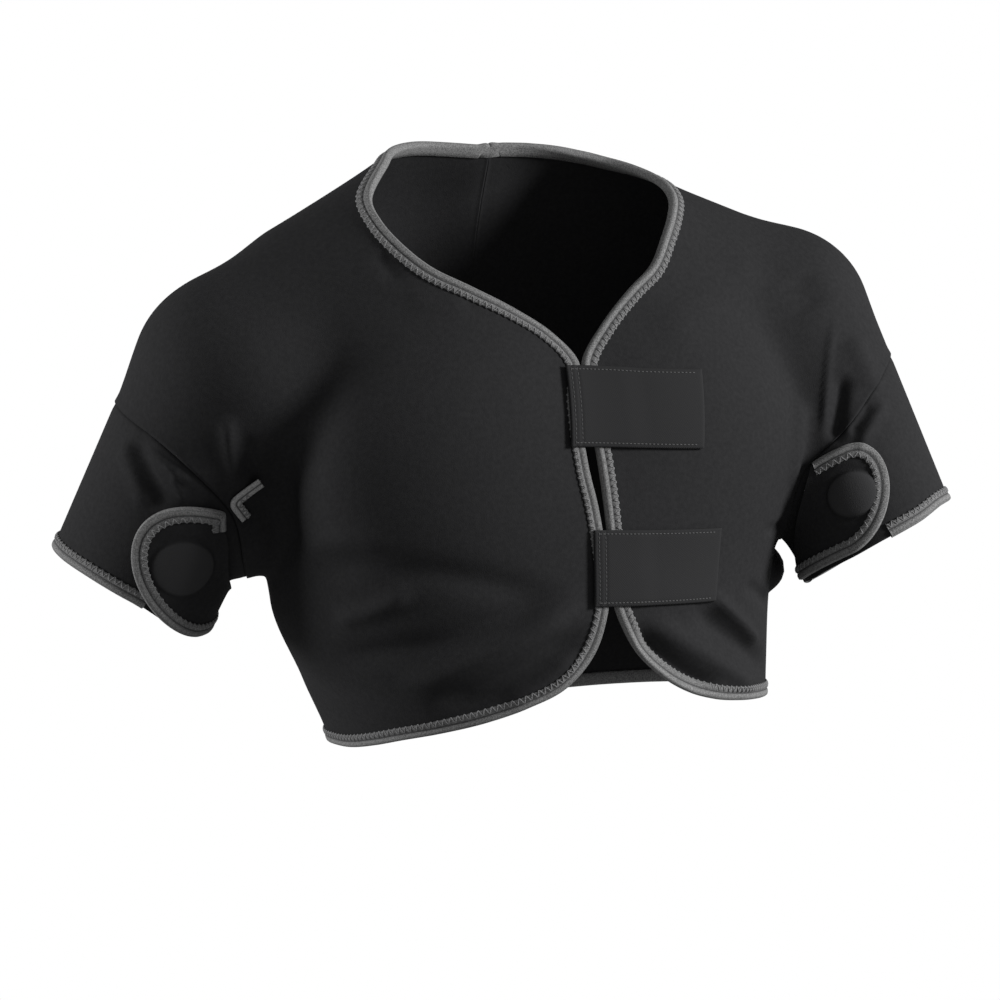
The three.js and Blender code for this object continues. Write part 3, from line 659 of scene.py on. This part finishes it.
def sheet_mesh(outer, inner, ringed):
    """Vertices and faces of a cloth sheet between an outer and an inner grid."""
    rows, columns = outer.shape[:2]
    count = rows * columns
    vertices = np.concatenate([outer.reshape(-1, 3), inner.reshape(-1, 3)])
    sheet = grid_faces(rows, columns, ringed)
    faces = [sheet, sheet[:, ::-1] + count]

    def add_rim(a, b):
        faces.append(np.stack([b, a, a + count, b + count], 1))

    row = np.arange(rows if ringed else rows - 1) * columns
    after = (row + columns) % count
    end = columns - 1
    add_rim(row, after)
    add_rim(after + end, row + end)
    if not ringed:
        j = np.arange(columns - 1)
        add_rim(j + 1, j)
        add_rim(count - columns + j, count - columns + j + 1)
    return vertices, outward(vertices, np.concatenate(faces))


def tube_faces(vertices, quads, ends):
    """Faces of open tubes and the flat faces over their first and last ends, turned outwards."""
    faces = outward(vertices, quads)
    turn = 1 if faces[0][0] == quads[0][0] else -1
    faces = faces.tolist()
    for first, last in ends:
        faces.append(first[::-turn])
        faces.append(last[::turn])
    return faces


def arc_lengths(points):
    steps = np.linalg.norm(points[1:] - points[:-1], axis=1)
    return np.concatenate([[0], np.cumsum(steps)])


def resample(points, step, closed=False):
    """Points at even steps along a polyline."""
    if closed:
        points = np.concatenate([points, points[:1]])
    length = arc_lengths(points)
    count = max(2, int(round(length[-1] / step)))
    at = np.linspace(0, length[-1], count + 1)
    if closed:
        at = at[:-1]
    return np.stack([np.interp(at, length, points[:, c]) for c in range(3)], 1), at


def even_out(line, rounds):
    for _ in range(rounds):
        line[1:-1] = 0.25 * (line[:-2] + line[2:]) + 0.5 * line[1:-1]
    return line


# Relief of folds and creases over the form.
# Each row: the line as places in the photograph, its half width and its height in millimetres
CREASES = [
    # Under the chest on the right panel
    ([(300, 546), (345, 538), (400, 545)], 7, 1.6),
    ([(296, 566), (360, 566), (440, 574), (520, 590), (570, 600)], 10, -3.5),
    ([(330, 622), (372, 612), (402, 598), (414, 584)], 7, 4.2),
    ([(325, 652), (430, 646), (500, 620), (575, 594)], 9, -4.5),
    ([(392, 684), (450, 673), (500, 652), (550, 622), (590, 600)], 9, 5.8),
    ([(420, 708), (480, 693), (530, 668), (572, 640), (592, 620)], 8, -5),
    ([(500, 706), (545, 682), (580, 652)], 6, 2.6),
    # Right armpit and sleeve
    ([(226, 412), (230, 455), (237, 494)], 4.5, 4),
    ([(243, 430), (252, 462), (262, 500)], 5, -3.2),
    ([(262, 446), (284, 500), (292, 570)], 13, -5),
    ([(132, 430), (148, 475), (168, 516)], 8, -4.5),
    ([(128, 430), (158, 455), (186, 483)], 2.2, 2.4),
    ([(162, 464), (192, 484)], 2, 1.9),
    ([(170, 472), (186, 503)], 2, 1.9),
    ([(122, 438), (138, 480), (150, 512)], 6, 2.6),
    # Left armpit and sleeve
    ([(836, 312), (829, 350), (826, 400), (823, 442)], 2.2, 2),
    ([(844, 370), (839, 410), (833, 446)], 5, -5.5),
    ([(850, 332), (868, 370), (874, 398)], 9, 3),
    ([(886, 398), (868, 430), (856, 452)], 4, 3.2),
    ([(872, 402), (850, 436)], 3, -2.4),
    ([(800, 392), (798, 440), (790, 492)], 9, 3.5),
    ([(762, 532), (790, 528)], 4, -2),
    ([(744, 584), (768, 602)], 5, -3),
    # Lower left panel
    ([(640, 616), (680, 640), (720, 665), (756, 690)], 7, 5),
    ([(688, 602), (722, 632), (766, 672)], 8, -6.5),
    ([(708, 592), (738, 620), (760, 648)], 4.5, 5),
    ([(630, 622), (655, 652), (690, 678), (722, 692)], 6, -6.5),
    # Shoulders and neck
    ([(795, 272), (815, 312)], 14, -2.5),
    ([(772, 258), (705, 300), (648, 342)], 18, 2.5),
    ([(378, 250), (399, 284)], 6, -1.8),
    ([(402, 300), (472, 306)], 9, 1.3),
]
# Step of the lines, how often each is evened out, how far a crease reaches in half widths,
# and the part of its length, one over this, in which each end fades
CREASE_STEP = 5.0
CREASE_ROUNDS = 4
CREASE_REACH = 3
CREASE_FADE = 4


def crease_line(pixels):
    line, _ = resample(settle(seen(pixels))[0], CREASE_STEP)
    return settle(even_out(line, CREASE_ROUNDS))[0]


CREASE_LINES = [(crease_line(pixels), width, height) for pixels, width, height in CREASES]


def relief(p):
    """Height of the folds over the smooth worn form at points on it."""
    flat = p.reshape(-1, 3)
    height = np.zeros(len(flat))
    for line, width, peak in CREASE_LINES:
        reach = CREASE_REACH * width
        low = line.min(0) - reach
        high = line.max(0) + reach
        near = np.nonzero(((flat > low) & (flat < high)).all(1))[0]
        if not len(near):
            continue
        q = flat[near]
        best = np.full(len(near), np.inf)
        along = np.zeros(len(near))
        spans = len(line) - 1
        for i in range(spans):
            ab = line[i + 1] - line[i]
            t = np.clip((q - line[i]) @ ab / max(ab @ ab, TINY), 0, 1)
            d = ((q - line[i] - t[:, None] * ab) ** 2).sum(1)
            closer = d < best
            best[closer] = d[closer]
            along[closer] = (i + t[closer]) / spans
        taper = smoothstep(np.minimum(along, 1 - along), 0, 1 / CREASE_FADE)
        height[near] += peak * taper * np.exp(-best / width ** 2)
    return height.reshape(p.shape[:-1])


# Materials

def new_material(name, color, roughness, specular, sheen=0):
    material = bpy.data.materials.new(name)
    material.use_nodes = True
    shader = material.node_tree.nodes["Principled BSDF"]
    shader.inputs["Base Color"].default_value = (*color, 1)
    shader.inputs["Roughness"].default_value = roughness
    shader.inputs["Specular IOR Level"].default_value = specular
    shader.inputs["Sheen Weight"].default_value = sheen
    return material, material.node_tree, shader


def add_texture(tree, kind, **settings):
    """A texture over the object's own places."""
    place = tree.nodes.new("ShaderNodeTexCoord")
    texture = tree.nodes.new(kind)
    for name, value in settings.items():
        texture.inputs[name].default_value = value
    tree.links.new(place.outputs["Object"], texture.inputs["Vector"])
    return texture


def add_ramp(tree, factor, *stops):
    """Colours between stops, each a place and a colour."""
    ramp = tree.nodes.new("ShaderNodeValToRGB")
    for element, (position, color) in zip(ramp.color_ramp.elements, stops):
        element.position = position
        element.color = (*color, 1)
    tree.links.new(factor, ramp.inputs["Fac"])
    return ramp.outputs["Color"]


def add_patch(tree, attribute, under, color):
    """The colour under it, changed to another where the mesh's attribute is one."""
    patch = tree.nodes.new("ShaderNodeAttribute")
    patch.attribute_name = attribute
    shade = tree.nodes.new("ShaderNodeMix")
    shade.data_type = "RGBA"
    shade.inputs["B"].default_value = (*color, 1)
    tree.links.new(patch.outputs["Fac"], shade.inputs["Factor"])
    tree.links.new(under, shade.inputs["A"])
    return shade.outputs["Result"]


def add_bump(tree, shader, height, strength, distance=0.0003):
    bump = tree.nodes.new("ShaderNodeBump")
    bump.inputs["Strength"].default_value = strength
    bump.inputs["Distance"].default_value = distance
    tree.links.new(height, bump.inputs["Height"])
    tree.links.new(bump.outputs["Normal"], shader.inputs["Normal"])


def neoprene_material():
    """Black jersey over foam: a fine knit with soft mottling, lighter on the flaps' bulges, partly their
    own lighter tone and partly a painted highlight.
    """
    material, tree, shader = new_material("neoprene_jersey", (0.017, 0.017, 0.0178),
                                          roughness=0.85, specular=0.06)
    knit = add_texture(tree, "ShaderNodeTexVoronoi", Scale=1500)
    mottle = add_texture(tree, "ShaderNodeTexNoise", Scale=350, Detail=6)
    cloth = add_ramp(tree, mottle.outputs["Fac"],
                     (0.3, (0.0145, 0.0145, 0.0152)), (0.75, (0.0195, 0.0195, 0.0203)))
    # Lighter colour on the flaps' bulges: partly the discs' own lighter tone, partly a painted highlight
    # of the dome
    cloth = add_patch(tree, "bulge_tone_and_highlight", cloth, (0.031, 0.031, 0.032))
    tree.links.new(cloth, shader.inputs["Base Color"])
    add_bump(tree, shader, knit.outputs["Distance"], strength=0.35)
    return material


def strap_material():
    """Loop fabric of the straps: a fine diagonal rib."""
    material, tree, shader = new_material("strap_loop_fabric", (0.024, 0.024, 0.0248),
                                          roughness=0.9, specular=0.06)
    rib = add_texture(tree, "ShaderNodeTexWave", Scale=500, Distortion=3)
    rib.bands_direction = "DIAGONAL"
    fabric = add_ramp(tree, rib.outputs["Fac"],
                      (0, (0.018, 0.018, 0.0187)), (1, (0.024, 0.024, 0.0247)))
    tree.links.new(fabric, shader.inputs["Base Color"])
    add_bump(tree, shader, rib.outputs["Fac"], strength=0.4)
    return material


def binding_material(name, dark, light):
    """Grey woven tape: light and dark threads along it, with painted shade in its middle groove and along
    its rolled edges.
    """
    material, tree, shader = new_material(name, (light, light, light), roughness=0.85, specular=0.12)
    speck = add_texture(tree, "ShaderNodeTexNoise", Scale=1400, Detail=3)
    woven = add_ramp(tree, speck.outputs["Fac"],
                     (0.35, (dark, dark, dark)), (0.65, (light, light, light)))
    # Painted shade: the groove attribute darkens the tape's middle groove and both rolled edges
    woven = add_patch(tree, "groove", woven, (0.02, 0.02, 0.021))
    tree.links.new(woven, shader.inputs["Base Color"])
    add_bump(tree, shader, speck.outputs["Fac"], strength=0.6)
    return material


def thread_material(name, color):
    """Twisted sewing thread."""
    material, tree, shader = new_material(name, color, roughness=0.7, specular=0.2, sheen=0.05)
    twist = add_texture(tree, "ShaderNodeTexWave", Scale=900)
    add_bump(tree, shader, twist.outputs["Fac"], strength=0.3, distance=0.0002)
    return material


# Pieces

def add_piece(obj, slot, *nodes):
    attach(obj, "root")
    if nodes:
        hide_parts(*nodes)


def cloth_piece(name, grid, normal, ringed, low, high, material, extra=0.0, bulge_tone_and_highlight=None):
    """A sheet of cloth on the form, with the folds in both of its faces."""
    height = relief(grid) + extra
    outer = grid + normal * (high + height)[..., None]
    inner = grid + normal * (low + height)[..., None]
    vertices, faces = sheet_mesh(outer, inner, ringed)
    attributes = {} if bulge_tone_and_highlight is None else {"bulge_tone_and_highlight": np.stack([bulge_tone_and_highlight, bulge_tone_and_highlight])}
    return make_object(name, vertices, faces, material, attributes)


# Section of the binding: reach from the cloth's edge (1 at the inner lip), height over the cloth
# as a share of the tape's, and how much painted shade shows there, most in the groove and at the rolled
# edges
BINDING_SECTION = [
    (1.0, 0.15, 0.6), (0.97, 0.7, 0.4), (0.88, 1.0, 0.2), (0.72, 1.05, 0.15), (0.56, 0.95, 0.3),
    (0.46, 0.7, 0.9), (0.38, 0.95, 0.25), (0.28, 1.25, 0.0), (0.14, 1.3, 0.0), (0.0, 1.15, 0.35),
]
# Angles of the fold round the cloth's edge, places of the rows under the tape and inside it,
# and the gap in millimetres between tape and cloth
BINDING_FOLD = (60, 30, 0, -30, -60)
BINDING_ROWS = (0.1, 0.5, 0.9)
BINDING_GAP = 0.1


def binding_piece(name, edge, lip, closed, low, high, material):
    """Tape folded over an edge, with two raised bands and a sewn groove between them."""
    normal = unit(gradient(edge))
    lip_normal = unit(gradient(lip))
    height = relief(edge)
    lip_height = relief(lip)
    out = unit(edge - lip)
    out = unit(out - normal * (out * normal).sum(1)[:, None])

    def at(share, level, reach):
        p = edge + (lip - edge) * share
        n = unit(normal * (1 - share) + lip_normal * share)
        h = height * (1 - share) + lip_height * share
        return p + n * (h + level)[:, None] + out * reach

    thick = TAPE + TAPE_GAP
    middle = (high + low) / 2
    half = (high - low) / 2 + thick
    under = low - BINDING_GAP
    section = [(share, high + level * thick, 0) for share, level, _ in BINDING_SECTION]
    for degrees in BINDING_FOLD:
        turn = math.radians(degrees)
        section.append((0, middle + half * math.sin(turn), thick * math.cos(turn)))
    section += [(share, low - thick, 0) for share in BINDING_ROWS]
    section += [(share, under, 0) for share in (1, *BINDING_ROWS[::-1])]
    section.append((0, middle, BINDING_GAP))
    section += [(share, high + BINDING_GAP, 0) for share in BINDING_ROWS]
    grid = np.stack([at(*place) for place in section], 1)
    # Painted shade along the section, darkest in the groove and at the rolled edges
    groove = np.zeros(grid.shape[:2])
    groove[:, :len(BINDING_SECTION)] = [dark for _, _, dark in BINDING_SECTION]
    rows, columns = grid.shape[:2]
    quads = grid_faces(rows, columns, closed, True)
    vertices = grid.reshape(-1, 3)
    ends = [] if closed else [(list(range(columns)), list(range((rows - 1) * columns, rows * columns)))]
    return make_object(name, vertices, tube_faces(vertices, quads, ends), material, {"groove": groove})


# Cover stitch: length of one zigzag, thread radius, and its three knots as the reach from the
# cloth's edge (1 at the lip) and the height over the cloth
STITCH_PITCH = 4.6
STITCH_RADIUS = 0.45
STITCH_SECTION = [(0.56, 1.4), (0.84, 1.7), (1.05, 0.4)]
# Thread of a stitch: how many sides it has, and its rings as share of its length and of its radius
THREAD_SIDES = 6
THREAD_RINGS = ((0.0, 0.5), (0.15, 1.0), (0.85, 1.0), (1.0, 0.5))


def thread_piece(name, starts, ends, normals, radius, material):
    """Short stitches, each a rounded thread between two points."""
    sides = THREAD_SIDES
    along = unit(ends - starts)
    across = unit(np.cross(normals, along))
    up = np.cross(along, across)
    count = len(starts)
    parts = []
    for share, size in THREAD_RINGS:
        centre = starts + (ends - starts) * share + up * radius * (size - 1)
        for s in range(sides):
            turn = 2 * math.pi * s / sides
            parts.append(centre + (across * math.cos(turn) + up * math.sin(turn)) * radius * size)
    vertices = np.stack(parts, 1).reshape(-1, 3)
    size = len(THREAD_RINGS) * sides
    stitch = grid_faces(len(THREAD_RINGS), sides, False, True)[:, [0, 3, 2, 1]]
    quads = (np.arange(count)[:, None, None] * size + stitch).reshape(-1, 4)
    caps = [(list(range(k, k + sides)), list(range(k + size - sides, k + size)))
            for k in range(0, count * size, size)]
    return make_object(name, vertices, tube_faces(vertices, quads, caps), material)


def cover_stitches(name, edge, lip, closed, high, material):
    """Light thread that zigzags over a binding's inner band and hooks over its lip."""
    line, at = resample(lip, STITCH_PITCH / 2, closed)
    joined = np.concatenate([edge, edge[:1]]) if closed else edge
    lips = np.concatenate([lip, lip[:1]]) if closed else lip
    length = arc_lengths(lips)
    base = np.stack([np.interp(at, length, joined[:, c]) for c in range(3)], 1)
    normal = unit(gradient(line))
    height = high + relief(line)
    groove, crest, hook = (
        base + (line - base) * share + normal * (height + rise)[:, None]
        for share, rise in STITCH_SECTION
    )
    odd = (np.arange(len(line)) % 2 == 1)[:, None]
    knots = np.where(odd, hook, groove)
    last = len(line) if closed and len(line) % 2 == 0 else len(line) - 1
    first = np.arange(last)
    after = (first + 1) % len(line)
    middle = (crest[first] + crest[after]) / 2
    starts = np.concatenate([knots[first], middle])
    ends = np.concatenate([middle, knots[after]])
    return thread_piece(name, starts, ends, np.concatenate([normal[first]] * 2), STITCH_RADIUS, material)


def front_point(x, z):
    """Points on the chest straight behind places in the front view."""
    x, z = np.broadcast_arrays(x, z)
    shape = x.shape
    x = x.ravel()
    z = z.ravel()
    inside, outside = (np.full(x.shape, share * CHEST_FRONT) for share in FRONT_SHARES)
    points = halve(inside, outside, lambda y: np.stack([x, y, z], 1), FRONT_HALVINGS)
    return points.reshape(*shape, 3)


def strap_surfaces(name):
    """Outer and inner surface of a strap and its outward directions."""
    shape = STRAPS[name]
    u = np.linspace(0, 1, STRAP_FINE[0] + 1)[:, None]
    v = np.linspace(0, 1, STRAP_FINE[1] + 1)[None, :]
    slant = (shape["sewn"] + (shape["free"] - shape["sewn"]) * u) * v
    x = (shape["start"] + u + slant) * STRAP_LENGTH
    z = shape["height"] * DROP - (shape["fall"] * u + v) * STRAP_HEIGHT
    grid = front_point(x, z)
    normal = unit(gradient(grid.reshape(-1, 3))).reshape(grid.shape)
    drop = smoothstep(grid[..., 0], STRAP_DROP[0] * STRAP_LENGTH, STRAP_DROP[1] * STRAP_LENGTH)
    over_binding = CLOTH + 2 * TAPE_GAP + TAPE
    low = over_binding + (CLOTH + STRAP_LIFT - over_binding) * drop + TAPE_GAP
    across = np.minimum(u, 1 - u) * STRAP_LENGTH
    down = np.minimum(v, 1 - v) * STRAP_HEIGHT
    depth, width = STRAP_RIM
    shaped = -depth * np.exp(-np.minimum(across, down) / width)
    depth, width = SEWN_GROOVE
    for seam in STRAP_SEWN:
        shaped = shaped - depth * np.exp(-((u - seam) * STRAP_LENGTH / width) ** 2)
    depth, width = EDGE_GROOVE
    for seam in STRAP_EDGE_SEAMS:
        shaped = shaped - depth * np.exp(-((v - seam) * STRAP_HEIGHT / width) ** 2)
    outer = grid + normal * (low + STRAP_CLOTH + shaped)[..., None]
    inner = grid + normal * low[..., None]
    return outer, inner, normal


def surface_point(grid, u, v):
    """Points between the points of a grid, at shares of its two lengths."""
    x = np.clip(u, 0, 1) * (grid.shape[0] - 1)
    y = np.clip(v, 0, 1) * (grid.shape[1] - 1)
    i = np.minimum(x.astype(int), grid.shape[0] - 2)
    j = np.minimum(y.astype(int), grid.shape[1] - 2)
    s = (x - i)[:, None]
    t = (y - j)[:, None]
    near = grid[i, j] * (1 - t) + grid[i, j + 1] * t
    far = grid[i + 1, j] * (1 - t) + grid[i + 1, j + 1] * t
    return near * (1 - s) + far * s


def strap_stitches(name, outer, normal, material):
    """Rows of stitches along the long edges of a strap and across its sewn end."""
    starts = []
    ends = []
    for v in STRAP_EDGE_SEAMS:
        at = np.arange(STRAP_SEWN[0] * STRAP_LENGTH, EDGE_ROW_END * STRAP_LENGTH, STRAP_STITCH_STEP)
        starts.append(np.stack([at / STRAP_LENGTH, np.full(len(at), v)], 1))
        ends.append(starts[-1] + (STRAP_STITCH / STRAP_LENGTH, 0))
    for u in STRAP_SEWN:
        at = np.arange(SEWN_ROW_ENDS[0], STRAP_HEIGHT - SEWN_ROW_ENDS[1], STRAP_STITCH_STEP)
        starts.append(np.stack([np.full(len(at), u), at / STRAP_HEIGHT], 1))
        ends.append(starts[-1] + (0, STRAP_STITCH / STRAP_HEIGHT))
    starts = np.concatenate(starts)
    ends = np.concatenate(ends)
    up = unit(surface_point(normal, *starts.T))
    starts, ends = (surface_point(outer, *places.T) + up * STRAP_STITCH_RISE for places in (starts, ends))
    return thread_piece(name.replace("_strap", "_stitches"), starts, ends, up, STRAP_STITCH_RADIUS,
                        material)


def edge_line(grid_right, grid_left):
    """Neck, front edges and hem as one loop, with the row beside it."""
    n = RING_STEPS * FINE
    top = BACK_TOP_STEP * FINE
    low = BACK_LOW_STEP * FINE
    first = np.arange(top, low + n + 1) % n
    second = np.arange(low + n - 1, top, -1) % n
    edge = np.concatenate([grid_right[first, -1], grid_left[second, -1]])
    lip = np.concatenate([grid_right[first, -1 - FINE], grid_left[second, -1 - FINE]])
    for k in (0, low + n - top):
        edge[k, 0] = 0
        lip[k, 0] = 0
    return edge, lip


def hem_line(grid, span):
    n = RING_STEPS * FINE
    first, last = (int(round(angle / 360 * n)) for angle in span)
    ks = np.arange(first, last + 1) % n
    return grid[ks, -1], grid[ks, -1 - FINE]


# Step along a flap's edge in millimetres, and the share of its length at which its middle is taken
FLAP_EDGE_STEP = 1.2
FLAP_MIDDLE = 0.4


def flap_line(grid):
    """Edge of a flap from one end of its root round to the other, with the row beside it."""
    end = grid.shape[0] - 1
    start = FLAP_FINE
    edge = np.concatenate([grid[start:end, 0], grid[end, :], grid[end - 1:start - 1:-1, end]])
    edge, _ = resample(edge, FLAP_EDGE_STEP)
    middle = grid[round(end * FLAP_MIDDLE), end // 2]
    return edge, border_row(edge, np.broadcast_to(middle, edge.shape), False)


def armpit_tape(material, thread):
    """Loose end of tape in the right armpit, with its row of cover stitches."""
    angle, along = np.array(ARMPIT_TAPE).T
    (start, bend, end), _ = arm_surface("right", angle, along * SLEEVE_REACH)
    before, after = ARMPIT_TAPE_BENDS
    stations = [start, bend + (start - bend) * before, bend, bend + (end - bend) * after, end]
    line, _ = resample(np.array(stations), ARMPIT_TAPE_STEP)
    line, normal = settle(even_out(line, ARMPIT_TAPE_ROUNDS))
    ahead = unit(np.gradient(line, axis=0))
    side = unit(np.cross(ahead, normal))
    share = np.linspace(-0.5, 0.5, ARMPIT_TAPE_COLUMNS)
    grid = line[:, None] + side[:, None] * (share * ARMPIT_TAPE_WIDTH)[None, :, None]
    grid, normals = settle(grid)
    band = ARMPIT_TAPE_BAND * np.abs(np.sin(share * 2 * np.pi))[None, :]
    low = CLOTH + ARMPIT_TAPE_LIFT
    outer = grid + normals * (low + TAPE + band)[..., None]
    inner = grid + normals * low
    vertices, faces = sheet_mesh(outer, inner, False)
    # Painted shade down the tape's middle groove
    groove = np.broadcast_to(np.exp(-(share / ARMPIT_TAPE_SHADE_WIDTH) ** 2), (2, *grid.shape[:2]))
    tape = make_object("right_armpit_tape", vertices, faces, material, {"groove": groove})
    return tape, cover_stitches("right_armpit_stitches", grid[:, 0], grid[:, -1], False, low, thread)


# Round bulge of each flap: angle round the arm, distance down it, radius and height;
# then the depth, distance and width of the groove round it, and the width of the rim over which its
# lighter colour fades in, partly own tone and partly painted highlight
FLAP_BULGE = {"right": (89, 118, 20, 2.2), "left": (125, 140, 16, 3.8)}
BULGE_GROOVE = (0.5, 1.5, 2.0)
BULGE_RIM = 2


def flap_relief(side, grid):
    """Height of the round embossed bulge of a flap, and which of its points are on the bulge, where the
    cloth is painted lighter: partly its own tone, partly a painted highlight.
    """
    angle, along, size, height = FLAP_BULGE[side]
    at, _ = arm_surface(side, np.array([angle]), np.array([along]))
    d = np.linalg.norm(grid - at[0], axis=-1)
    dome = height * np.clip(1 - (d / size) ** 2, 0, 1) ** 0.5
    depth, aside, width = BULGE_GROOVE
    return dome - depth * np.exp(-((d - size - aside) / width) ** 2), smoothstep(size - d, 0, BULGE_RIM)


# Armhole seam: how far the panel's edge stands up beside the sleeve's, and over what distance
SEAM_RISE = 0.7
SEAM_WIDTH = 4.0


# Centre back seam: depth and width of its groove, half width of its stitches, and how many
# stitches the binding hides at each end
BACK_SEAM_DEPTH = 0.6
BACK_SEAM_WIDTH = 1.6
BACK_SEAM_REACH = 2.6
BACK_SEAM_HIDDEN = 3


def back_seam(line, material):
    """Flat zigzag seam that joins the two panels down the middle of the back."""
    line, _ = resample(line, STITCH_PITCH / 2)
    line = line[BACK_SEAM_HIDDEN:-BACK_SEAM_HIDDEN]
    normal = unit(gradient(line))
    aside = np.where(np.arange(len(line)) % 2 == 1, BACK_SEAM_REACH, -BACK_SEAM_REACH)
    knots = line.copy()
    knots[:, 0] += aside
    knots = settle(knots)[0] + normal * CLOTH
    return thread_piece("back_seam_stitches", knots[:-1], knots[1:], normal[:-1], STITCH_RADIUS, material)


def across_grid(grid):
    """Distance of each point of a grid from its first column, along the cloth."""
    steps = np.linalg.norm(np.diff(grid, axis=1), axis=-1)
    return np.concatenate([np.zeros((len(grid), 1)), np.cumsum(steps, axis=1)], 1)


def add_binding(name, node, line, closed, low, high, tape, thread):
    """Binding tape along an edge, and the stitches over it."""
    add_piece(binding_piece(f"{name}_tape", *line, closed, low, high, tape), "binding", node)
    add_piece(cover_stitches(f"{name}_stitches", *line, closed, high, thread), "binding")


def build():
    neoprene = neoprene_material()
    loop = strap_material()
    tape = binding_material("binding_tape", 0.075, 0.21)
    # The same tape in a lighter copy: painted light on the loose end in the armpit, which the lamps leave
    # in shade
    painted_light_tape = binding_material("binding_tape_painted_light", 0.16, 0.4)
    grey = thread_material("grey_thread", (0.15, 0.15, 0.152))
    dark = thread_material("dark_grey_thread", (0.07, 0.07, 0.071))
    on_back = slice(BACK_LOW_STEP * FINE, BACK_TOP_STEP * FINE + 1)
    bodies = {}
    for side in FORM:
        coarse = body_grid(side)
        grid, normal = refine(coarse, FINE, FINE, True)
        grid[on_back, -1, 0] = 0
        bodies[side] = grid
        rise = SEAM_RISE * np.exp(-(across_grid(grid) / SEAM_WIDTH) ** 2)
        rise[on_back] -= BACK_SEAM_DEPTH * np.exp(-(grid[on_back, :, 0] / BACK_SEAM_WIDTH) ** 2)
        body = cloth_piece(f"{side}_body", grid, normal, True, 0, CLOTH, neoprene, rise)
        add_piece(body, "neoprene", f"{side}_body_panel")
        sleeve, sleeve_normal = refine(sleeve_grid(side, coarse[:, 0]), FINE, FINE, True)
        obj = cloth_piece(f"{side}_arm", sleeve, sleeve_normal, True, 0, CLOTH, neoprene,
                          -SEAM_RISE * np.exp(-(across_grid(sleeve) / SEAM_WIDTH) ** 2))
        add_piece(obj, "neoprene", f"{side}_sleeve")
        line = hem_line(sleeve, HEM_BINDING[side])
        add_binding(f"{side}_sleeve", f"{side}_sleeve_binding", line, False, 0, CLOTH, tape, grey)
        flap, flap_normal = flap_grid(side)
        # The bulge mask makes the flap lighter there: partly own tone, partly painted highlight
        dome, bulge_tone_and_highlight = flap_relief(side, flap)
        levels = (FLAP_LOW, FLAP_LOW + FLAP_CLOTH)
        obj = cloth_piece(f"{side}_flap", flap, flap_normal, False, *levels, neoprene, dome, bulge_tone_and_highlight)
        add_piece(obj, "neoprene", f"{side}_sleeve_flap")
        add_binding(f"{side}_flap", f"{side}_flap_binding", flap_line(flap), False, *levels, tape, grey)
    add_piece(back_seam(bodies["right"][on_back, -1], dark), "neoprene")
    line = edge_line(bodies["right"], bodies["left"])
    add_binding("edge", "edge_binding", line, True, 0, CLOTH, tape, grey)
    for name in STRAPS:
        outer, inner, normal = strap_surfaces(name)
        vertices, faces = sheet_mesh(outer, inner, False)
        obj = make_object(name.replace("_strap", "_closure"), vertices, faces, loop)
        add_piece(obj, "strap", name)
        add_piece(strap_stitches(name, outer, normal, dark), "strap")
    end, stitches = armpit_tape(painted_light_tape, grey)
    add_piece(end, "binding", "right_armpit_binding_end")
    add_piece(stitches, "binding")


# Lights: brightness of the room, places in metres and power in watts of the lamps

ROOM_LIGHT = 0.34
LAMPS = {"key_light": ((2.3, -1.7, 0.8), 150), "side_light": ((-2.4, 0.8, 0.25), 62)}
LAMP_AIM = (0, 0, -0.15)
LAMP_SIZE = 0.9


def make_lights():
    """A white backdrop, dim light from all round, and soft lamps."""
    world = bpy.data.worlds.new("studio")
    world.use_nodes = True
    nodes = world.node_tree.nodes
    links = world.node_tree.links
    backdrop = nodes["Background"]
    room = nodes.new("ShaderNodeBackground")
    for background, strength in ((backdrop, 1), (room, ROOM_LIGHT)):
        background.inputs["Color"].default_value = (1, 1, 1, 1)
        background.inputs["Strength"].default_value = strength
    path = nodes.new("ShaderNodeLightPath")
    mix = nodes.new("ShaderNodeMixShader")
    links.new(path.outputs["Is Camera Ray"], mix.inputs[0])
    links.new(room.outputs["Background"], mix.inputs[1])
    links.new(backdrop.outputs["Background"], mix.inputs[2])
    links.new(mix.outputs["Shader"], nodes["World Output"].inputs["Surface"])
    bpy.context.scene.world = world
    for name, (place, power) in LAMPS.items():
        data = bpy.data.lights.new(name, "AREA")
        data.shape = "DISK"
        data.size = LAMP_SIZE
        data.energy = power
        place_object(data, place, Vector(LAMP_AIM) - Vector(place))


make_camera()
build()
make_lights()
bpy.context.scene.view_settings.view_transform = "Standard"
